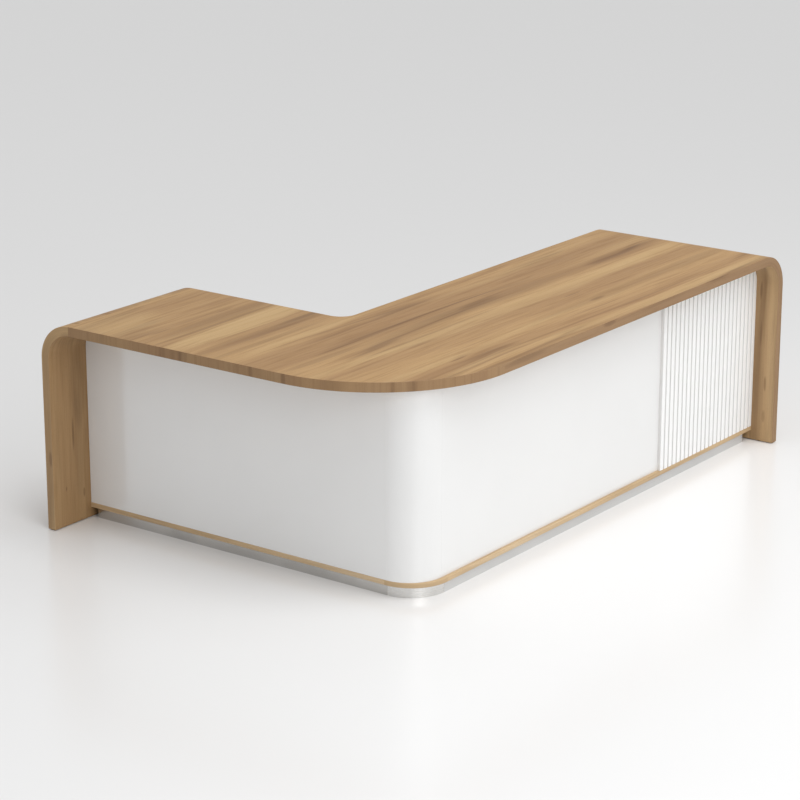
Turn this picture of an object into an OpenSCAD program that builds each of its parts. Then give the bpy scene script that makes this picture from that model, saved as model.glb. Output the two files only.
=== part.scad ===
// Executive desk in an L shape: a wood worktop whose two ends bend down into legs, white front
// panels round the outside with a slatted panel at one end, a wood base board on a recessed metal
// plinth, and on the user's side a drawer pedestal and a cupboard with two doors.
// The outer front corner, before it is rounded, is the start of both arms: the main arm runs
// along +X and the return along +Y. place() then moves the whole desk over its origin.

/* [Overall size] */
// Length of the main arm
desk_l = 2400; // [2200:10:2800]
// Depth from the main arm's front edge to the far end of the return
desk_d = 1580; // [1540:10:2000]
// Height of the worktop's top face above the floor
desk_h = 760; // [720:5:800]
// Depth of the main arm's worktop
main_w = 760; // [720:5:800]
// Width of the return's worktop
return_w = 650; // [600:5:750]

/* [Worktop and bent ends] */
// Thickness of the worktop and of the bent ends
top_t = 34; // [28:1:40]
// Outer radius of the bend at each end
bend_r = 130; // [100:1:150]
// Radius of the worktop's outer corner
corner_r = 515; // [300:5:580]
// Radius of the worktop's inner corner
inner_r = 60; // [20:5:100]
// Diameter of the dowels between the worktop and the bent ends
dowel_d = 10; // [8:1:14]
// Length of those dowels
dowel_l = 60; // [40:2:80]
// Number of dowels in each joint
dowel_count = 4; // [3:1:6]
// Diameter of the glides under the legs
glide_d = 24; // [16:1:26]
// Height of the glides
glide_h = 3; // [2:0.5:6]
// Distance of the outer glides from a leg's edges
glide_inset = 60; // [20:5:120]
// Diameter of the glides' stems
glide_stem_d = 8; // [6:1:10]
// Length of the glides' stems in the legs
glide_stem_l = 25; // [15:1:40]

/* [Front panels] */
// Thickness of the white panels
panel_t = 18; // [16:1:22]
// Setback of the base board's face from the return's front edge
return_setback = 185; // [150:1:210]
// Setback of the base board's face from the main arm's front edge
main_setback = 94; // [70:1:130]
// Depth of the return panel's face behind the base board's face
return_recess = 2; // [1:0.5:8]
// Outer radius of the curved corner panel
panel_corner_r = 130; // [122:1:144]

/* [Slatted panel] */
// Length of the slatted panel along the main arm
slat_l = 681; // [400:1:900]
// Number of slats
slat_count = 23; // [12:1:30]
// Thickness of the slatted panel, which is also the main panel's recess
slat_t = 13; // [11:0.5:18]
// Width of the grooves between the slats
groove_w = 9; // [5:0.5:12]
// Depth of the grooves
groove_depth = 8; // [4:0.5:9.5]
// Radius of the slats' long edges
slat_edge_r = 1; // [1:0.5:3.5]

/* [Base board and plinth] */
// Thickness of the base board
base_t = 18; // [16:1:25]
// Width of the base board under the panels
base_w = 150; // [148:1:190]
// Radius of the base board's outer corner
base_r = 145; // [125:1:147]
// Height of the plinth
plinth_h = 38; // [30:1:60]
// Thickness of the plinth strips
plinth_t = 18; // [12:1:24]
// Setback of the plinth from the base board's face
plinth_recess = 12; // [6:1:30]
// Distance that the plinth stops short of the return's leg
plinth_stop_return = 22; // [10:1:60]
// Distance that the plinth stops short of the main arm's leg
plinth_stop_main = 45; // [10:1:80]

/* [Cabinet boards] */
// Thickness of the cabinet boards
board_t = 18; // [16:1:22]
// Thickness of the cabinet backs
back_t = 8; // [5:1:12]
// Distance from each cabinet to the start of the bend
bend_clear = 2; // [0:1:40]
// Setback of the kick boards from the cabinet fronts
kick_setback = 50; // [30:1:80]
// Diameter of the dowels between a cabinet's sides and its top and bottom
board_dowel_d = 8; // [6:1:10]
// Length of those dowels
board_dowel_l = 30; // [26:1:36]
// Depth of those dowels in the sides
board_dowel_in_side = 12; // [8:1:14]
// Number of dowels in each of those joints
board_dowel_count = 3; // [2:1:5]
// Distance of the outer dowels from a board's front and back edges
board_dowel_edge = 50; // [40:5:100]

/* [Cupboard] */
// Width of the cupboard along the return
cupboard_w = 618; // [540:2:640]
// Setback of the doors from the worktop's inner edge
cupboard_setback = 20; // [5:1:60]
// Thickness of the doors
door_t = 18; // [16:1:20]
// Gap round the doors
door_gap = 2; // [1.5:0.5:4]
// Diameter of the pivot pins
pivot_d = 6; // [5:0.5:8]
// Depth of the pivot pins in the cabinet boards
pivot_depth = 10; // [6:1:12]
// Height of the shelf above the cupboard's floor
shelf_h = 310; // [150:1:420]
// Diameter of the shelf pins
shelf_pin_d = 5; // [4:0.5:8]
// Distance between the holes for the shelf pins
pin_pitch = 32; // [25:1:35]
// Number of spare holes above and below each pin
spare_pin_holes = 4; // [0:1:4]
// Distance from the top of a door to the upper end of its handle
door_handle_drop = 120; // [60:5:240]
// Distance from a door's free edge to the middle of its handle
door_handle_inset = 45; // [25:1:80]

/* [Drawer pedestal] */
// Width of the pedestal along the main arm
pedestal_w = 418; // [380:2:480]
// Setback of the drawer fronts from the worktop's inner edge
pedestal_setback = 38; // [10:1:80]
// Height of the two upper drawer fronts
drawer_h = 150; // [130:1:170]
// Thickness of the drawer fronts
front_t = 18; // [16:1:22]
// Gap round the drawer fronts
front_gap = 3; // [2:0.5:4]
// Thickness of the drawer box's boards
box_t = 12; // [10:1:16]
// Thickness of the drawer bottoms
bottom_t = 6; // [4:1:8]
// Least height of a finger in the drawer boxes' corner joints
finger_h = 14; // [8:1:24]
// Length of the runners and of the drawer boxes
runner_l = 500; // [400:10:520]
// Height of the runners
runner_h = 45; // [40:1:46]
// Thickness of a runner, between the pedestal's side and the drawer box
runner_w = 13; // [12:0.5:16]
// Thickness of the runner's sheet steel
runner_sheet = 1.2; // [1:0.1:1.5]
// Outer radius of the bends in that sheet
sheet_bend_r = 2; // [1.8:0.1:3]

/* [Handles and lock] */
// Diameter of the handle bars
handle_d = 10; // [8:1:14]
// Length of the handle bars
handle_l = 160; // [120:2:220]
// Distance of a bar's centre from the face that it stands on
handle_reach = 26; // [22:1:32]
// Diameter of the handle posts
post_d = 8; // [6:0.5:9]
// Distance of each post from the end of its bar
post_inset = 16; // [8:1:30]
// Diameter of the lock's core
lock_d = 16; // [14:1:18]
// Diameter of the lock's head
lock_head_d = 21; // [20:1:24]
// Reach of the lock's tongue into the pedestal's top
tongue_reach = 8; // [6:1:10]

/* [Brackets] */
// Length of an angle bracket's legs
bracket_leg = 30; // [24:1:36]
// Width of an angle bracket
bracket_w = 40; // [30:1:60]
// Thickness of an angle bracket's steel
bracket_t = 2; // [1.5:0.5:3]
// Diameter of the bracket screws
screw_d = 4; // [3:0.5:5]
// Depth of the bracket screws in the boards
screw_bite = 13; // [8:1:14]
// Distance from the corner panel to the first brackets under the worktop
bracket_from_seam = 120; // [60:5:200]
// Distance from the cabinets to the last brackets under the worktop
bracket_from_cabinet = 60; // [30:5:120]

/* [Hidden] */
$fn = 96;

// Width of the chamfer round a glide's foot
glide_chamfer = 1;

// Clearances
dowel_fit = 0.1;
pivot_fit = 0.05;
lock_fit = 0.05;
runner_fit = 0.4;
groove_fit = 0.2;
seat_gap = 0.3;
bend_fit = 1;
shelf_fit = 0.8;

// Levels
underside = desk_h - top_t;
base_top = plinth_h + base_t;
panel_h = underside - base_top;
floor_z = base_top + board_t;
ceiling_z = underside - board_t;
inner_h = ceiling_z - floor_z;

// Faces of the front, and where its pieces meet
return_face = return_setback + return_recess;
main_face = main_setback + slat_t;
return_back = return_face + panel_t;
main_back = main_face + panel_t;
main_stop = desk_l - top_t;
return_stop = desk_d - top_t;
inner_bend_r = bend_r - top_t;
panel_seam_u = return_face + panel_corner_r;
panel_seam_v = main_face + panel_corner_r;
base_seam_u = return_setback + base_w;
base_seam_v = main_setback + base_w;
plinth_u = return_setback + base_r;
plinth_v = main_setback + base_r;

// Slats
slat_pitch = (slat_l + groove_w) / slat_count;
slat_w = slat_pitch - groove_w;
edge_steps = 4;

// Cupboard
cupboard_u0 = return_back;
cupboard_u1 = return_w - cupboard_setback;
cupboard_v1 = desk_d - bend_r - bend_clear;
cupboard_v0 = cupboard_v1 - cupboard_w;
cupboard_mid = (cupboard_v0 + cupboard_v1) / 2;
pivot_u = cupboard_u1 - door_t / 2;
pivot_inset = board_t + door_gap + door_t / 2;
pivot_in_door = 18;
collar_d = 14;
door_z = floor_z + door_gap;
door_h = inner_h - 2 * door_gap;
door_handle_z = door_z + door_h - door_handle_drop - handle_l / 2;
shelf_z = floor_z + shelf_h;
shelf_setback = 12;
pin_in_board = 10;
pin_under_shelf = 9;
pin_edge = 60;
catch_size = [14, 46, 12];

// Pedestal and drawers, counted from the top
pedestal_u1 = desk_l - bend_r - bend_clear;
pedestal_u0 = pedestal_u1 - pedestal_w;
pedestal_v0 = main_back;
pedestal_v1 = main_w - pedestal_setback;
file_h = inner_h - 4 * front_gap - 2 * drawer_h;
front_hs = [drawer_h, drawer_h, file_h];
front_zs = [
    ceiling_z - front_gap - drawer_h,
    ceiling_z - 2 * front_gap - 2 * drawer_h,
    floor_z + front_gap,
];
box_u0 = pedestal_u0 + board_t + runner_w;
box_u1 = pedestal_u1 - board_t - runner_w;
box_v1 = pedestal_v1 - front_t;
box_v0 = box_v1 - runner_l;

// The drawer box above its front's lower edge and below its upper edge, and its bottom's groove
box_lift = 15;
box_drop = 45;
bottom_lift = 10;
bottom_groove = 5;
runner_lift = 40;

// The lock, from the upper right corner of the top drawer's opening, and its tongue
tongue_t = 2;
tongue_w = 12;
lock_inset = 48;
lock_drop = 22;
lock_u = pedestal_u1 - board_t - lock_inset;
lock_z = front_zs[0] + drawer_h - lock_drop;
tongue_v = box_v1 - seat_gap - tongue_t;
tongue_l = ceiling_z + tongue_reach - lock_z;
slot_clear = 1.5;
lock_head_h = 2;
key_slot = [2, 8, 1];

// Brackets and screws
screw_head_d = 2 * screw_d;
screw_head_h = 2;
screw_tip_l = 3;
screw_tip_d = 1;
screw_hole_fit = 0.3;
screw_out = bracket_leg * 0.6;
leg_bracket_zs = [250, 550];
top_bracket_count = 4;
main_bracket_u0 = panel_seam_u + bracket_from_seam;
main_bracket_u1 = pedestal_u0 - bracket_from_cabinet;
main_bracket_step = (main_bracket_u1 - main_bracket_u0) / (top_bracket_count - 1);
return_bracket_vs = [panel_seam_v + bracket_from_seam, cupboard_v0 - bracket_from_cabinet];

// How far a cut runs past the face that it opens
past = 1;

module place() {
    translate([-desk_l / 2, -desk_d / 2, 0]) children();
}

// A board between two opposite corners
module board(low, high) {
    translate(low) cube(high - low);
}

// Places of the dowels across an arm of width w
function dowel_places(w) = [for (i = [0 : dowel_count - 1]) w * (i + 0.5) / dowel_count];

// Holes or dowels in both joints, r in radius and half in length on each side
module dowels(r, half) {
    for (v = dowel_places(main_w)) {
        translate([desk_l - bend_r - half, v, desk_h - top_t / 2])
            rotate([0, 90, 0]) cylinder(r = r, h = 2 * half);
    }
    for (u = dowel_places(return_w)) {
        translate([u, desk_d - bend_r - half, desk_h - top_t / 2])
            rotate([-90, 0, 0]) cylinder(r = r, h = 2 * half);
    }
}

// The L in plan, with its outer corner rounded and its inner corner filled by an arc
module worktop_plan() {
    difference() {
        union() {
            square([desk_l - bend_r, main_w]);
            square([return_w, desk_d - bend_r]);
            translate([return_w, main_w]) square(inner_r);
        }
        difference() {
            square(corner_r);
            translate([corner_r, corner_r]) circle(r = corner_r);
        }
        translate([return_w + inner_r, main_w + inner_r]) circle(r = inner_r);
    }
}

module worktop() {
    color("burlywood") place() difference() {
        translate([0, 0, underside]) linear_extrude(top_t) worktop_plan();
        dowels(dowel_d / 2 + dowel_fit, dowel_l / 2 + dowel_fit);
        screw_holes();
    }
}

// A quarter ring with a straight leg below it, seen from the side, about the bend's centre
module bent_profile() {
    leg_drop = desk_h - bend_r - glide_h;
    intersection() {
        difference() {
            circle(r = bend_r);
            circle(r = inner_bend_r);
        }
        square(bend_r);
    }
    translate([inner_bend_r, -leg_drop]) square([top_t, leg_drop]);
}

module main_end() {
    color("burlywood") place() difference() {
        translate([desk_l - bend_r, main_w, desk_h - bend_r])
            rotate([90, 0, 0]) linear_extrude(main_w) bent_profile();
        dowels(dowel_d / 2 + dowel_fit, dowel_l / 2 + dowel_fit);
        screw_holes();
        stem_holes();
    }
}

module return_end() {
    color("burlywood") place() difference() {
        translate([0, desk_d - bend_r, desk_h - bend_r])
            rotate([90, 0, 90]) linear_extrude(return_w) bent_profile();
        dowels(dowel_d / 2 + dowel_fit, dowel_l / 2 + dowel_fit);
        screw_holes();
        stem_holes();
    }
}

module joint_dowels() {
    color("wheat") place() dowels(dowel_d / 2, dowel_l / 2);
}

// Three glides' places under each leg, near its ends and at its middle
module glide_places() {
    for (v = [glide_inset, main_w / 2, main_w - glide_inset]) {
        translate([desk_l - top_t / 2, v, 0]) children();
    }
    for (u = [glide_inset, return_w / 2, return_w - glide_inset]) {
        translate([u, desk_d - top_t / 2, 0]) children();
    }
}

module stem_holes() {
    glide_places() cylinder(r = glide_stem_d / 2 + dowel_fit, h = glide_h + glide_stem_l + dowel_fit);
}

// A round foot whose lower edge is chamfered, with a stem in the leg
module glide() {
    rotate_extrude() polygon([
        [0, 0], [glide_d / 2 - glide_chamfer, 0], [glide_d / 2, glide_chamfer],
        [glide_d / 2, glide_h], [0, glide_h],
    ]);
    translate([0, 0, glide_h]) cylinder(d = glide_stem_d, h = glide_stem_l);
}

module leg_glides() {
    color("dimgray") place() glide_places() glide();
}

// A panel's outline from its seam to the leg, with its top corner rounded to clear the bend
module end_rounded(length) {
    r = inner_bend_r + bend_fit;
    difference() {
        square([length, panel_h]);
        translate([length - r, panel_h - r]) difference() {
            square(r);
            circle(r = r);
        }
    }
}

// A quarter of a ring about (u, v), from the return's side round to the main arm's side
module corner_ring(u, v, r_out, wall, z, h) {
    translate([u, v, z]) linear_extrude(h) intersection() {
        difference() {
            circle(r = r_out);
            circle(r = r_out - wall);
        }
        translate([-r_out, -r_out]) square(r_out);
    }
}

module return_panel() {
    color("white") place() difference() {
        translate([return_face, panel_seam_v, base_top])
            rotate([90, 0, 90]) linear_extrude(panel_t) end_rounded(return_stop - panel_seam_v);
        screw_holes();
    }
}

module corner_panel() {
    color("white") place()
        corner_ring(panel_seam_u, panel_seam_v, panel_corner_r, panel_t, base_top, panel_h);
}

module main_panel() {
    color("white") place() difference() {
        translate([panel_seam_u, main_back, base_top])
            rotate([90, 0, 0]) linear_extrude(panel_t) end_rounded(main_stop - panel_seam_u);
        screw_holes();
    }
}

// Points of a quarter round, from a slat's side to its face, or back when the slat's face ends
function left_round(x) = [
    for (i = [0 : edge_steps])
        let (a = 90 * i / edge_steps)
        [x + slat_edge_r * (1 - cos(a)), slat_edge_r * (1 - sin(a))]
];
function right_round(x) = [
    for (i = [0 : edge_steps])
        let (a = 90 * i / edge_steps)
        [x - slat_edge_r * (1 - sin(a)), slat_edge_r * (1 - cos(a))]
];

// One slat and the floor of the groove after it, seen from above
function slat_points(i) =
    let (x = i * slat_pitch)
    let (slat = concat(left_round(x), right_round(x + slat_w)))
    let (groove = [[x + slat_w, groove_depth], [x + slat_pitch, groove_depth]])
    i < slat_count - 1 ? concat(slat, groove) : slat;

module slat_panel() {
    outline = [for (i = [0 : slat_count - 1]) each slat_points(i)];
    color("white") place() intersection() {
        translate([main_stop - slat_l, main_setback, base_top]) linear_extrude(panel_h)
            polygon(concat(outline, [[slat_l, slat_t], [0, slat_t]]));
        translate([main_stop - slat_l, main_face, base_top])
            rotate([90, 0, 0]) linear_extrude(slat_t) end_rounded(slat_l);
    }
}

module base_return() {
    color("burlywood") place() board(
        [return_setback, base_seam_v, plinth_h],
        [base_seam_u, return_stop, base_top]
    );
}

module base_corner() {
    color("burlywood") place() translate([return_setback, main_setback, plinth_h])
        linear_extrude(base_t) difference() {
            square(base_w);
            difference() {
                square(base_r);
                translate([base_r, base_r]) circle(r = base_r);
            }
        }
}

module base_main() {
    color("burlywood") place() board(
        [base_seam_u, main_setback, plinth_h],
        [main_stop, base_seam_v, base_top]
    );
}

module plinth_return() {
    face = return_setback + plinth_recess;
    color("silver") place() board(
        [face, plinth_v, 0],
        [face + plinth_t, return_stop - plinth_stop_return, plinth_h]
    );
}

module plinth_corner() {
    color("silver") place()
        corner_ring(plinth_u, plinth_v, base_r - plinth_recess, plinth_t, 0, plinth_h);
}

module plinth_main() {
    face = main_setback + plinth_recess;
    color("silver") place() board(
        [plinth_u, face, 0],
        [main_stop - plinth_stop_main, face + plinth_t, plinth_h]
    );
}

// Rails that hold up the back of the base boards
module plinth_rails() {
    color("dimgray") place() {
        board(
            [base_seam_u - plinth_t, base_seam_v, 0],
            [base_seam_u, return_stop - plinth_stop_return, plinth_h]
        );
        board(
            [base_seam_u, base_seam_v - plinth_t, 0],
            [main_stop - plinth_stop_main, base_seam_v, plinth_h]
        );
    }
}

// An angle bracket's places: children stand in the corner between a back (y = 0) and a top (z = 0)
module bracket_places() {
    for (i = [0 : top_bracket_count - 1]) {
        translate([main_bracket_u0 + i * main_bracket_step, main_back, underside]) children();
    }
    for (v = return_bracket_vs) {
        translate([return_back, v, underside]) rotate([0, 0, -90]) children();
    }
    for (z = leg_bracket_zs) {
        translate([main_stop, main_back, z]) rotate([0, 90, 0]) children();
        translate([return_back, return_stop, z]) rotate([0, -90, -90]) children();
    }
}

module angle_bracket() {
    hole_r = screw_d / 2 + screw_hole_fit;
    outline = [
        [0, 0], [bracket_leg, 0], [bracket_leg, -bracket_t],
        [bracket_t, -bracket_t], [bracket_t, -bracket_leg], [0, -bracket_leg],
    ];
    difference() {
        translate([-bracket_w / 2, 0, 0])
            rotate([90, 0, 90]) linear_extrude(bracket_w) polygon(outline);
        for (x = [-bracket_w / 4, bracket_w / 4]) {
            translate([x, screw_out, -bracket_t - past]) cylinder(r = hole_r, h = bracket_t + 2 * past);
            translate([x, -past, -screw_out])
                rotate([-90, 0, 0]) cylinder(r = hole_r, h = bracket_t + 2 * past);
        }
    }
}

module angle_brackets() {
    color("silver") place() bracket_places() angle_bracket();
}

// The screws' places: the board that a screw holds to has its face at z = 0 and lies above it
module screw_places() {
    bracket_places() for (x = [-bracket_w / 4, bracket_w / 4]) {
        translate([x, screw_out, 0]) children();
        translate([x, 0, -screw_out]) rotate([90, 0, 0]) children();
    }
}

module screw_holes() {
    screw_places() translate([0, 0, -past])
        cylinder(r = screw_d / 2 + dowel_fit, h = past + screw_bite + dowel_fit);
}

// A pan head under the bracket, and a shank through the bracket and into the board, with a point
module bracket_screw() {
    translate([0, 0, -bracket_t - screw_head_h]) cylinder(d = screw_head_d, h = screw_head_h);
    translate([0, 0, -bracket_t]) cylinder(d = screw_d, h = bracket_t + screw_bite - screw_tip_l);
    translate([0, 0, screw_bite - screw_tip_l])
        cylinder(d1 = screw_d, d2 = screw_tip_d, h = screw_tip_l);
}

module bracket_screws() {
    color("gray") place() screw_places() bracket_screw();
}

// Dowels' places between a cabinet's sides and its top and bottom: the side's inner face is at z = 0,
// and the edge of the top or the bottom stands on it
module board_dowel_places() {
    for (z = [base_top + board_t / 2, underside - board_t / 2]) {
        for (u = spread(cupboard_u0 + board_dowel_edge, cupboard_u1 - board_dowel_edge)) {
            translate([u, cupboard_v0 + board_t, z]) rotate([-90, 0, 0]) children();
            translate([u, cupboard_v1 - board_t, z]) rotate([90, 0, 0]) children();
        }
        for (v = spread(pedestal_v0 + board_dowel_edge, pedestal_v1 - board_dowel_edge)) {
            translate([pedestal_u0 + board_t, v, z]) rotate([0, 90, 0]) children();
            translate([pedestal_u1 - board_t, v, z]) rotate([0, -90, 0]) children();
        }
    }
}

// As many places as a joint has dowels, evenly from low to high
function spread(low, high) = [
    for (i = [0 : board_dowel_count - 1]) low + (high - low) * i / (board_dowel_count - 1)
];

// A dowel, or its hole where fit is over 0
module board_dowel(fit) {
    translate([0, 0, -board_dowel_in_side - fit])
        cylinder(r = board_dowel_d / 2 + fit, h = board_dowel_l + 2 * fit);
}

module cabinet_dowels() {
    color("wheat") place() board_dowel_places() board_dowel(0);
}

module board_dowel_holes() {
    board_dowel_places() board_dowel(dowel_fit);
}

// Holes in the cupboard's sides for the shelf pins, or the pins themselves: each has spares above and
// below it
module shelf_pin_row(r, in_board, inside, spares) {
    for (step = [-spares : spares]) {
        z = shelf_z - shelf_pin_d / 2 + step * pin_pitch;
        for (u = [cupboard_u0 + back_t + pin_edge, cupboard_u1 - door_t - pin_edge]) {
            translate([u, cupboard_v0 + board_t - in_board, z])
                rotate([-90, 0, 0]) cylinder(r = r, h = in_board + inside);
            translate([u, cupboard_v1 - board_t + in_board, z])
                rotate([90, 0, 0]) cylinder(r = r, h = in_board + inside);
        }
    }
}

module cupboard_sides() {
    color("white") place() difference() {
        for (v = [cupboard_v0, cupboard_v1 - board_t]) {
            board([cupboard_u0, v, base_top], [cupboard_u1, v + board_t, underside]);
        }
        shelf_pin_row(shelf_pin_d / 2 + dowel_fit, pin_in_board + dowel_fit, past, spare_pin_holes);
        board_dowel_holes();
    }
}

// The two pivots' places in plan; the cylinders or pins stand on z = 0 there
module pivot_places() {
    translate([pivot_u, cupboard_v0 + pivot_inset, 0]) children();
    translate([pivot_u, cupboard_v1 - pivot_inset, 0]) children();
}

module pivot_holes(z) {
    pivot_places() translate([0, 0, z]) cylinder(r = pivot_d / 2 + pivot_fit, h = pivot_depth + seat_gap);
}

module cupboard_top() {
    color("white") place() difference() {
        board(
            [cupboard_u0, cupboard_v0 + board_t, ceiling_z],
            [cupboard_u1, cupboard_v1 - board_t, underside]
        );
        pivot_holes(ceiling_z);
        board_dowel_holes();
    }
}

module cupboard_bottom() {
    color("white") place() difference() {
        board(
            [cupboard_u0, cupboard_v0 + board_t, base_top],
            [cupboard_u1, cupboard_v1 - board_t, floor_z]
        );
        pivot_holes(floor_z - pivot_depth - seat_gap);
        board_dowel_holes();
    }
}

module cupboard_back() {
    color("white") place() board(
        [cupboard_u0, cupboard_v0 + board_t, floor_z],
        [cupboard_u0 + back_t, cupboard_v1 - board_t, ceiling_z]
    );
}

module cupboard_shelf() {
    color("white") place() board(
        [cupboard_u0 + back_t + shelf_fit, cupboard_v0 + board_t + shelf_fit, shelf_z],
        [cupboard_u1 - door_t - shelf_setback, cupboard_v1 - board_t - shelf_fit, shelf_z + board_t]
    );
}

module shelf_pins() {
    color("silver") place() shelf_pin_row(shelf_pin_d / 2, pin_in_board, pin_under_shelf, 0);
}

// A magnetic catch under the cupboard's top, just behind both doors
module door_catch() {
    back_of_doors = cupboard_u1 - door_t - seat_gap;
    color("dimgray") place() board(
        [back_of_doors - catch_size[0], cupboard_mid - catch_size[1] / 2, ceiling_z - catch_size[2]],
        [back_of_doors, cupboard_mid + catch_size[1] / 2, ceiling_z]
    );
}

module kick_boards() {
    color("white") place() {
        board(
            [cupboard_u1 - kick_setback - board_t, cupboard_v0, 0],
            [cupboard_u1 - kick_setback, cupboard_v1, base_top]
        );
        board(
            [pedestal_u0, pedestal_v1 - kick_setback - board_t, 0],
            [pedestal_u1, pedestal_v1 - kick_setback, base_top]
        );
    }
}

// The door whose pivot is at y = 0, reaching along +Y, with a round edge about the pivot
module door() {
    reach = cupboard_mid - door_gap / 2 - cupboard_v0 - pivot_inset;
    difference() {
        translate([0, 0, door_z]) linear_extrude(door_h) union() {
            circle(r = door_t / 2);
            translate([-door_t / 2, 0]) square([door_t, reach]);
        }
        for (z = [door_z, door_z + door_h - pivot_in_door]) {
            translate([0, 0, z]) cylinder(r = pivot_d / 2 + dowel_fit, h = pivot_in_door);
        }
    }
}

// A pin with a collar that keeps the door off the board, standing on the door's end at z = 0
module pivot_pin() {
    translate([0, 0, -pivot_in_door]) cylinder(d = pivot_d, h = pivot_in_door + door_gap + pivot_depth);
    cylinder(d = collar_d, h = door_gap - seat_gap);
}

module door_pivots() {
    translate([0, 0, door_z]) rotate([180, 0, 0]) pivot_pin();
    translate([0, 0, door_z + door_h]) pivot_pin();
}

// A round bar on two posts, standing off the face x = 0 along +X and running along +Z
module bar_handle() {
    spread = handle_l / 2 - post_inset;
    translate([handle_reach, 0, -handle_l / 2]) cylinder(d = handle_d, h = handle_l);
    for (z = [-spread, spread]) {
        translate([0, 0, z]) rotate([0, 90, 0]) cylinder(d = post_d, h = handle_reach);
    }
}

module door_handle() {
    reach = cupboard_mid - door_gap / 2 - cupboard_v0 - pivot_inset;
    translate([door_t / 2, reach - door_handle_inset, door_handle_z]) bar_handle();
}

// Children are made for the left door, and mirrored across the cupboard's middle for the right
module as_left_door() {
    place() translate([pivot_u, cupboard_v0 + pivot_inset, 0]) children();
}

module as_right_door() {
    place() translate([pivot_u, cupboard_v1 - pivot_inset, 0]) mirror([0, 1, 0]) children();
}

module left_door() {
    color("burlywood") as_left_door() door();
}

module left_door_pivots() {
    color("silver") as_left_door() door_pivots();
}

module left_door_handle() {
    color("dimgray") as_left_door() door_handle();
}

module right_door() {
    color("burlywood") as_right_door() door();
}

module right_door_pivots() {
    color("silver") as_right_door() door_pivots();
}

module right_door_handle() {
    color("dimgray") as_right_door() door_handle();
}

module pedestal_sides() {
    color("white") place() difference() {
        for (u = [pedestal_u0, pedestal_u1 - board_t]) {
            board([u, pedestal_v0, base_top], [u + board_t, pedestal_v1, underside]);
        }
        board_dowel_holes();
    }
}

// The slot in the pedestal's top clears the lock's tongue on its way up to the upright
module pedestal_top() {
    tip = norm([tongue_l, tongue_w / 2]);
    slot_left = sqrt(tip * tip - pow(ceiling_z - lock_z, 2)) + slot_clear;
    slot_right = tongue_w / 2 + slot_clear;
    color("white") place() difference() {
        board(
            [pedestal_u0 + board_t, pedestal_v0, ceiling_z],
            [pedestal_u1 - board_t, pedestal_v1, underside]
        );
        board(
            [lock_u - slot_left, tongue_v - slot_clear, ceiling_z - past],
            [lock_u + slot_right, tongue_v + tongue_t + slot_clear, lock_z + tip + slot_clear]
        );
        board_dowel_holes();
    }
}

module pedestal_bottom() {
    color("white") place() difference() {
        board(
            [pedestal_u0 + board_t, pedestal_v0, base_top],
            [pedestal_u1 - board_t, pedestal_v1, floor_z]
        );
        board_dowel_holes();
    }
}

module pedestal_back() {
    color("white") place() board(
        [pedestal_u0 + board_t, pedestal_v0, floor_z],
        [pedestal_u1 - board_t, pedestal_v0 + back_t, ceiling_z]
    );
}

// A rectangle from x = 0 along +X and centred on y = 0, with its two corners at x = 0 rounded
module round_backed(length, height, r) {
    translate([r, -height / 2]) square([length - r, height]);
    translate([0, r - height / 2]) square([length, height - 2 * r]);
    for (y = [r - height / 2, height / 2 - r]) {
        translate([r, y]) circle(r = r);
    }
}

// A channel of bent sheet, seen along its length: its web stands at x = 0 and its lips run along +X
module channel(height, lip) {
    difference() {
        round_backed(lip, height, sheet_bend_r);
        translate([runner_sheet, 0])
            round_backed(lip, height - 2 * runner_sheet, sheet_bend_r - runner_sheet);
    }
}

// The three nested members of a runner, with the pedestal's side at x = 0 and the box at runner_w
module case_section() {
    channel(runner_h, runner_w - 3 * runner_sheet);
}

module middle_section() {
    inner = runner_h - 2 * (runner_sheet + runner_fit);
    translate([runner_sheet + runner_fit, 0]) channel(inner, runner_w - 3 * runner_sheet - 2 * runner_fit);
}

module inner_section() {
    inner = runner_h - 4 * (runner_sheet + runner_fit);
    start = 2 * (runner_sheet + runner_fit);
    translate([runner_w, 0]) mirror([1, 0]) channel(inner, runner_w - start);
}

// A section run along the drawer on both sides of the box of drawer i
module runner_pair(i) {
    z = front_zs[i] + box_lift + runner_lift;
    translate([pedestal_u0 + board_t, box_v1, z])
        rotate([90, 0, 0]) linear_extrude(runner_l) children();
    translate([pedestal_u1 - board_t, box_v1, z])
        rotate([90, 0, 0]) linear_extrude(runner_l) mirror([1, 0]) children();
}

module runner_cases() {
    color("silver") place() for (i = [0 : 2]) {
        runner_pair(i) case_section();
    }
}

// The front of drawer i; the top one has the lock's hole
module drawer_front(i) {
    color("burlywood") place() difference() {
        board(
            [pedestal_u0 + board_t + front_gap, box_v1, front_zs[i]],
            [pedestal_u1 - board_t - front_gap, pedestal_v1, front_zs[i] + front_hs[i]]
        );
        if (i == 0) {
            translate([lock_u, pedestal_v1 + past, lock_z])
                rotate([90, 0, 0]) cylinder(r = lock_d / 2 + lock_fit, h = front_t + 2 * past);
        }
    }
}

// Heights of the box of drawer i
function box_z(i) = front_zs[i] + box_lift;
function box_h(i) = front_hs[i] - box_lift - box_drop;

// The slot round the inside of a drawer box that its bottom slides into
module bottom_slot(i, fit) {
    z = box_z(i) + bottom_lift;
    edge = box_t - bottom_groove + fit;
    board(
        [box_u0 + edge, box_v0 + edge, z],
        [box_u1 - edge, box_v1 - edge, z + bottom_t + groove_fit - fit]
    );
}

// The fingers of the ends of drawer box i, each as wide as the sides are thick. A corner has an odd
// number of fingers in all, and the sides have the first and the last of them.
module end_fingers(i) {
    pairs = floor(box_h(i) / finger_h / 2);
    finger = box_h(i) / (2 * pairs + 1);
    for (k = [1 : pairs], u = [box_u0, box_u1 - box_t], v = [box_v0, box_v1 - box_t]) {
        z = box_z(i) + (2 * k - 1) * finger;
        board([u, v, z], [u + box_t, v + box_t, z + finger]);
    }
}

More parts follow.
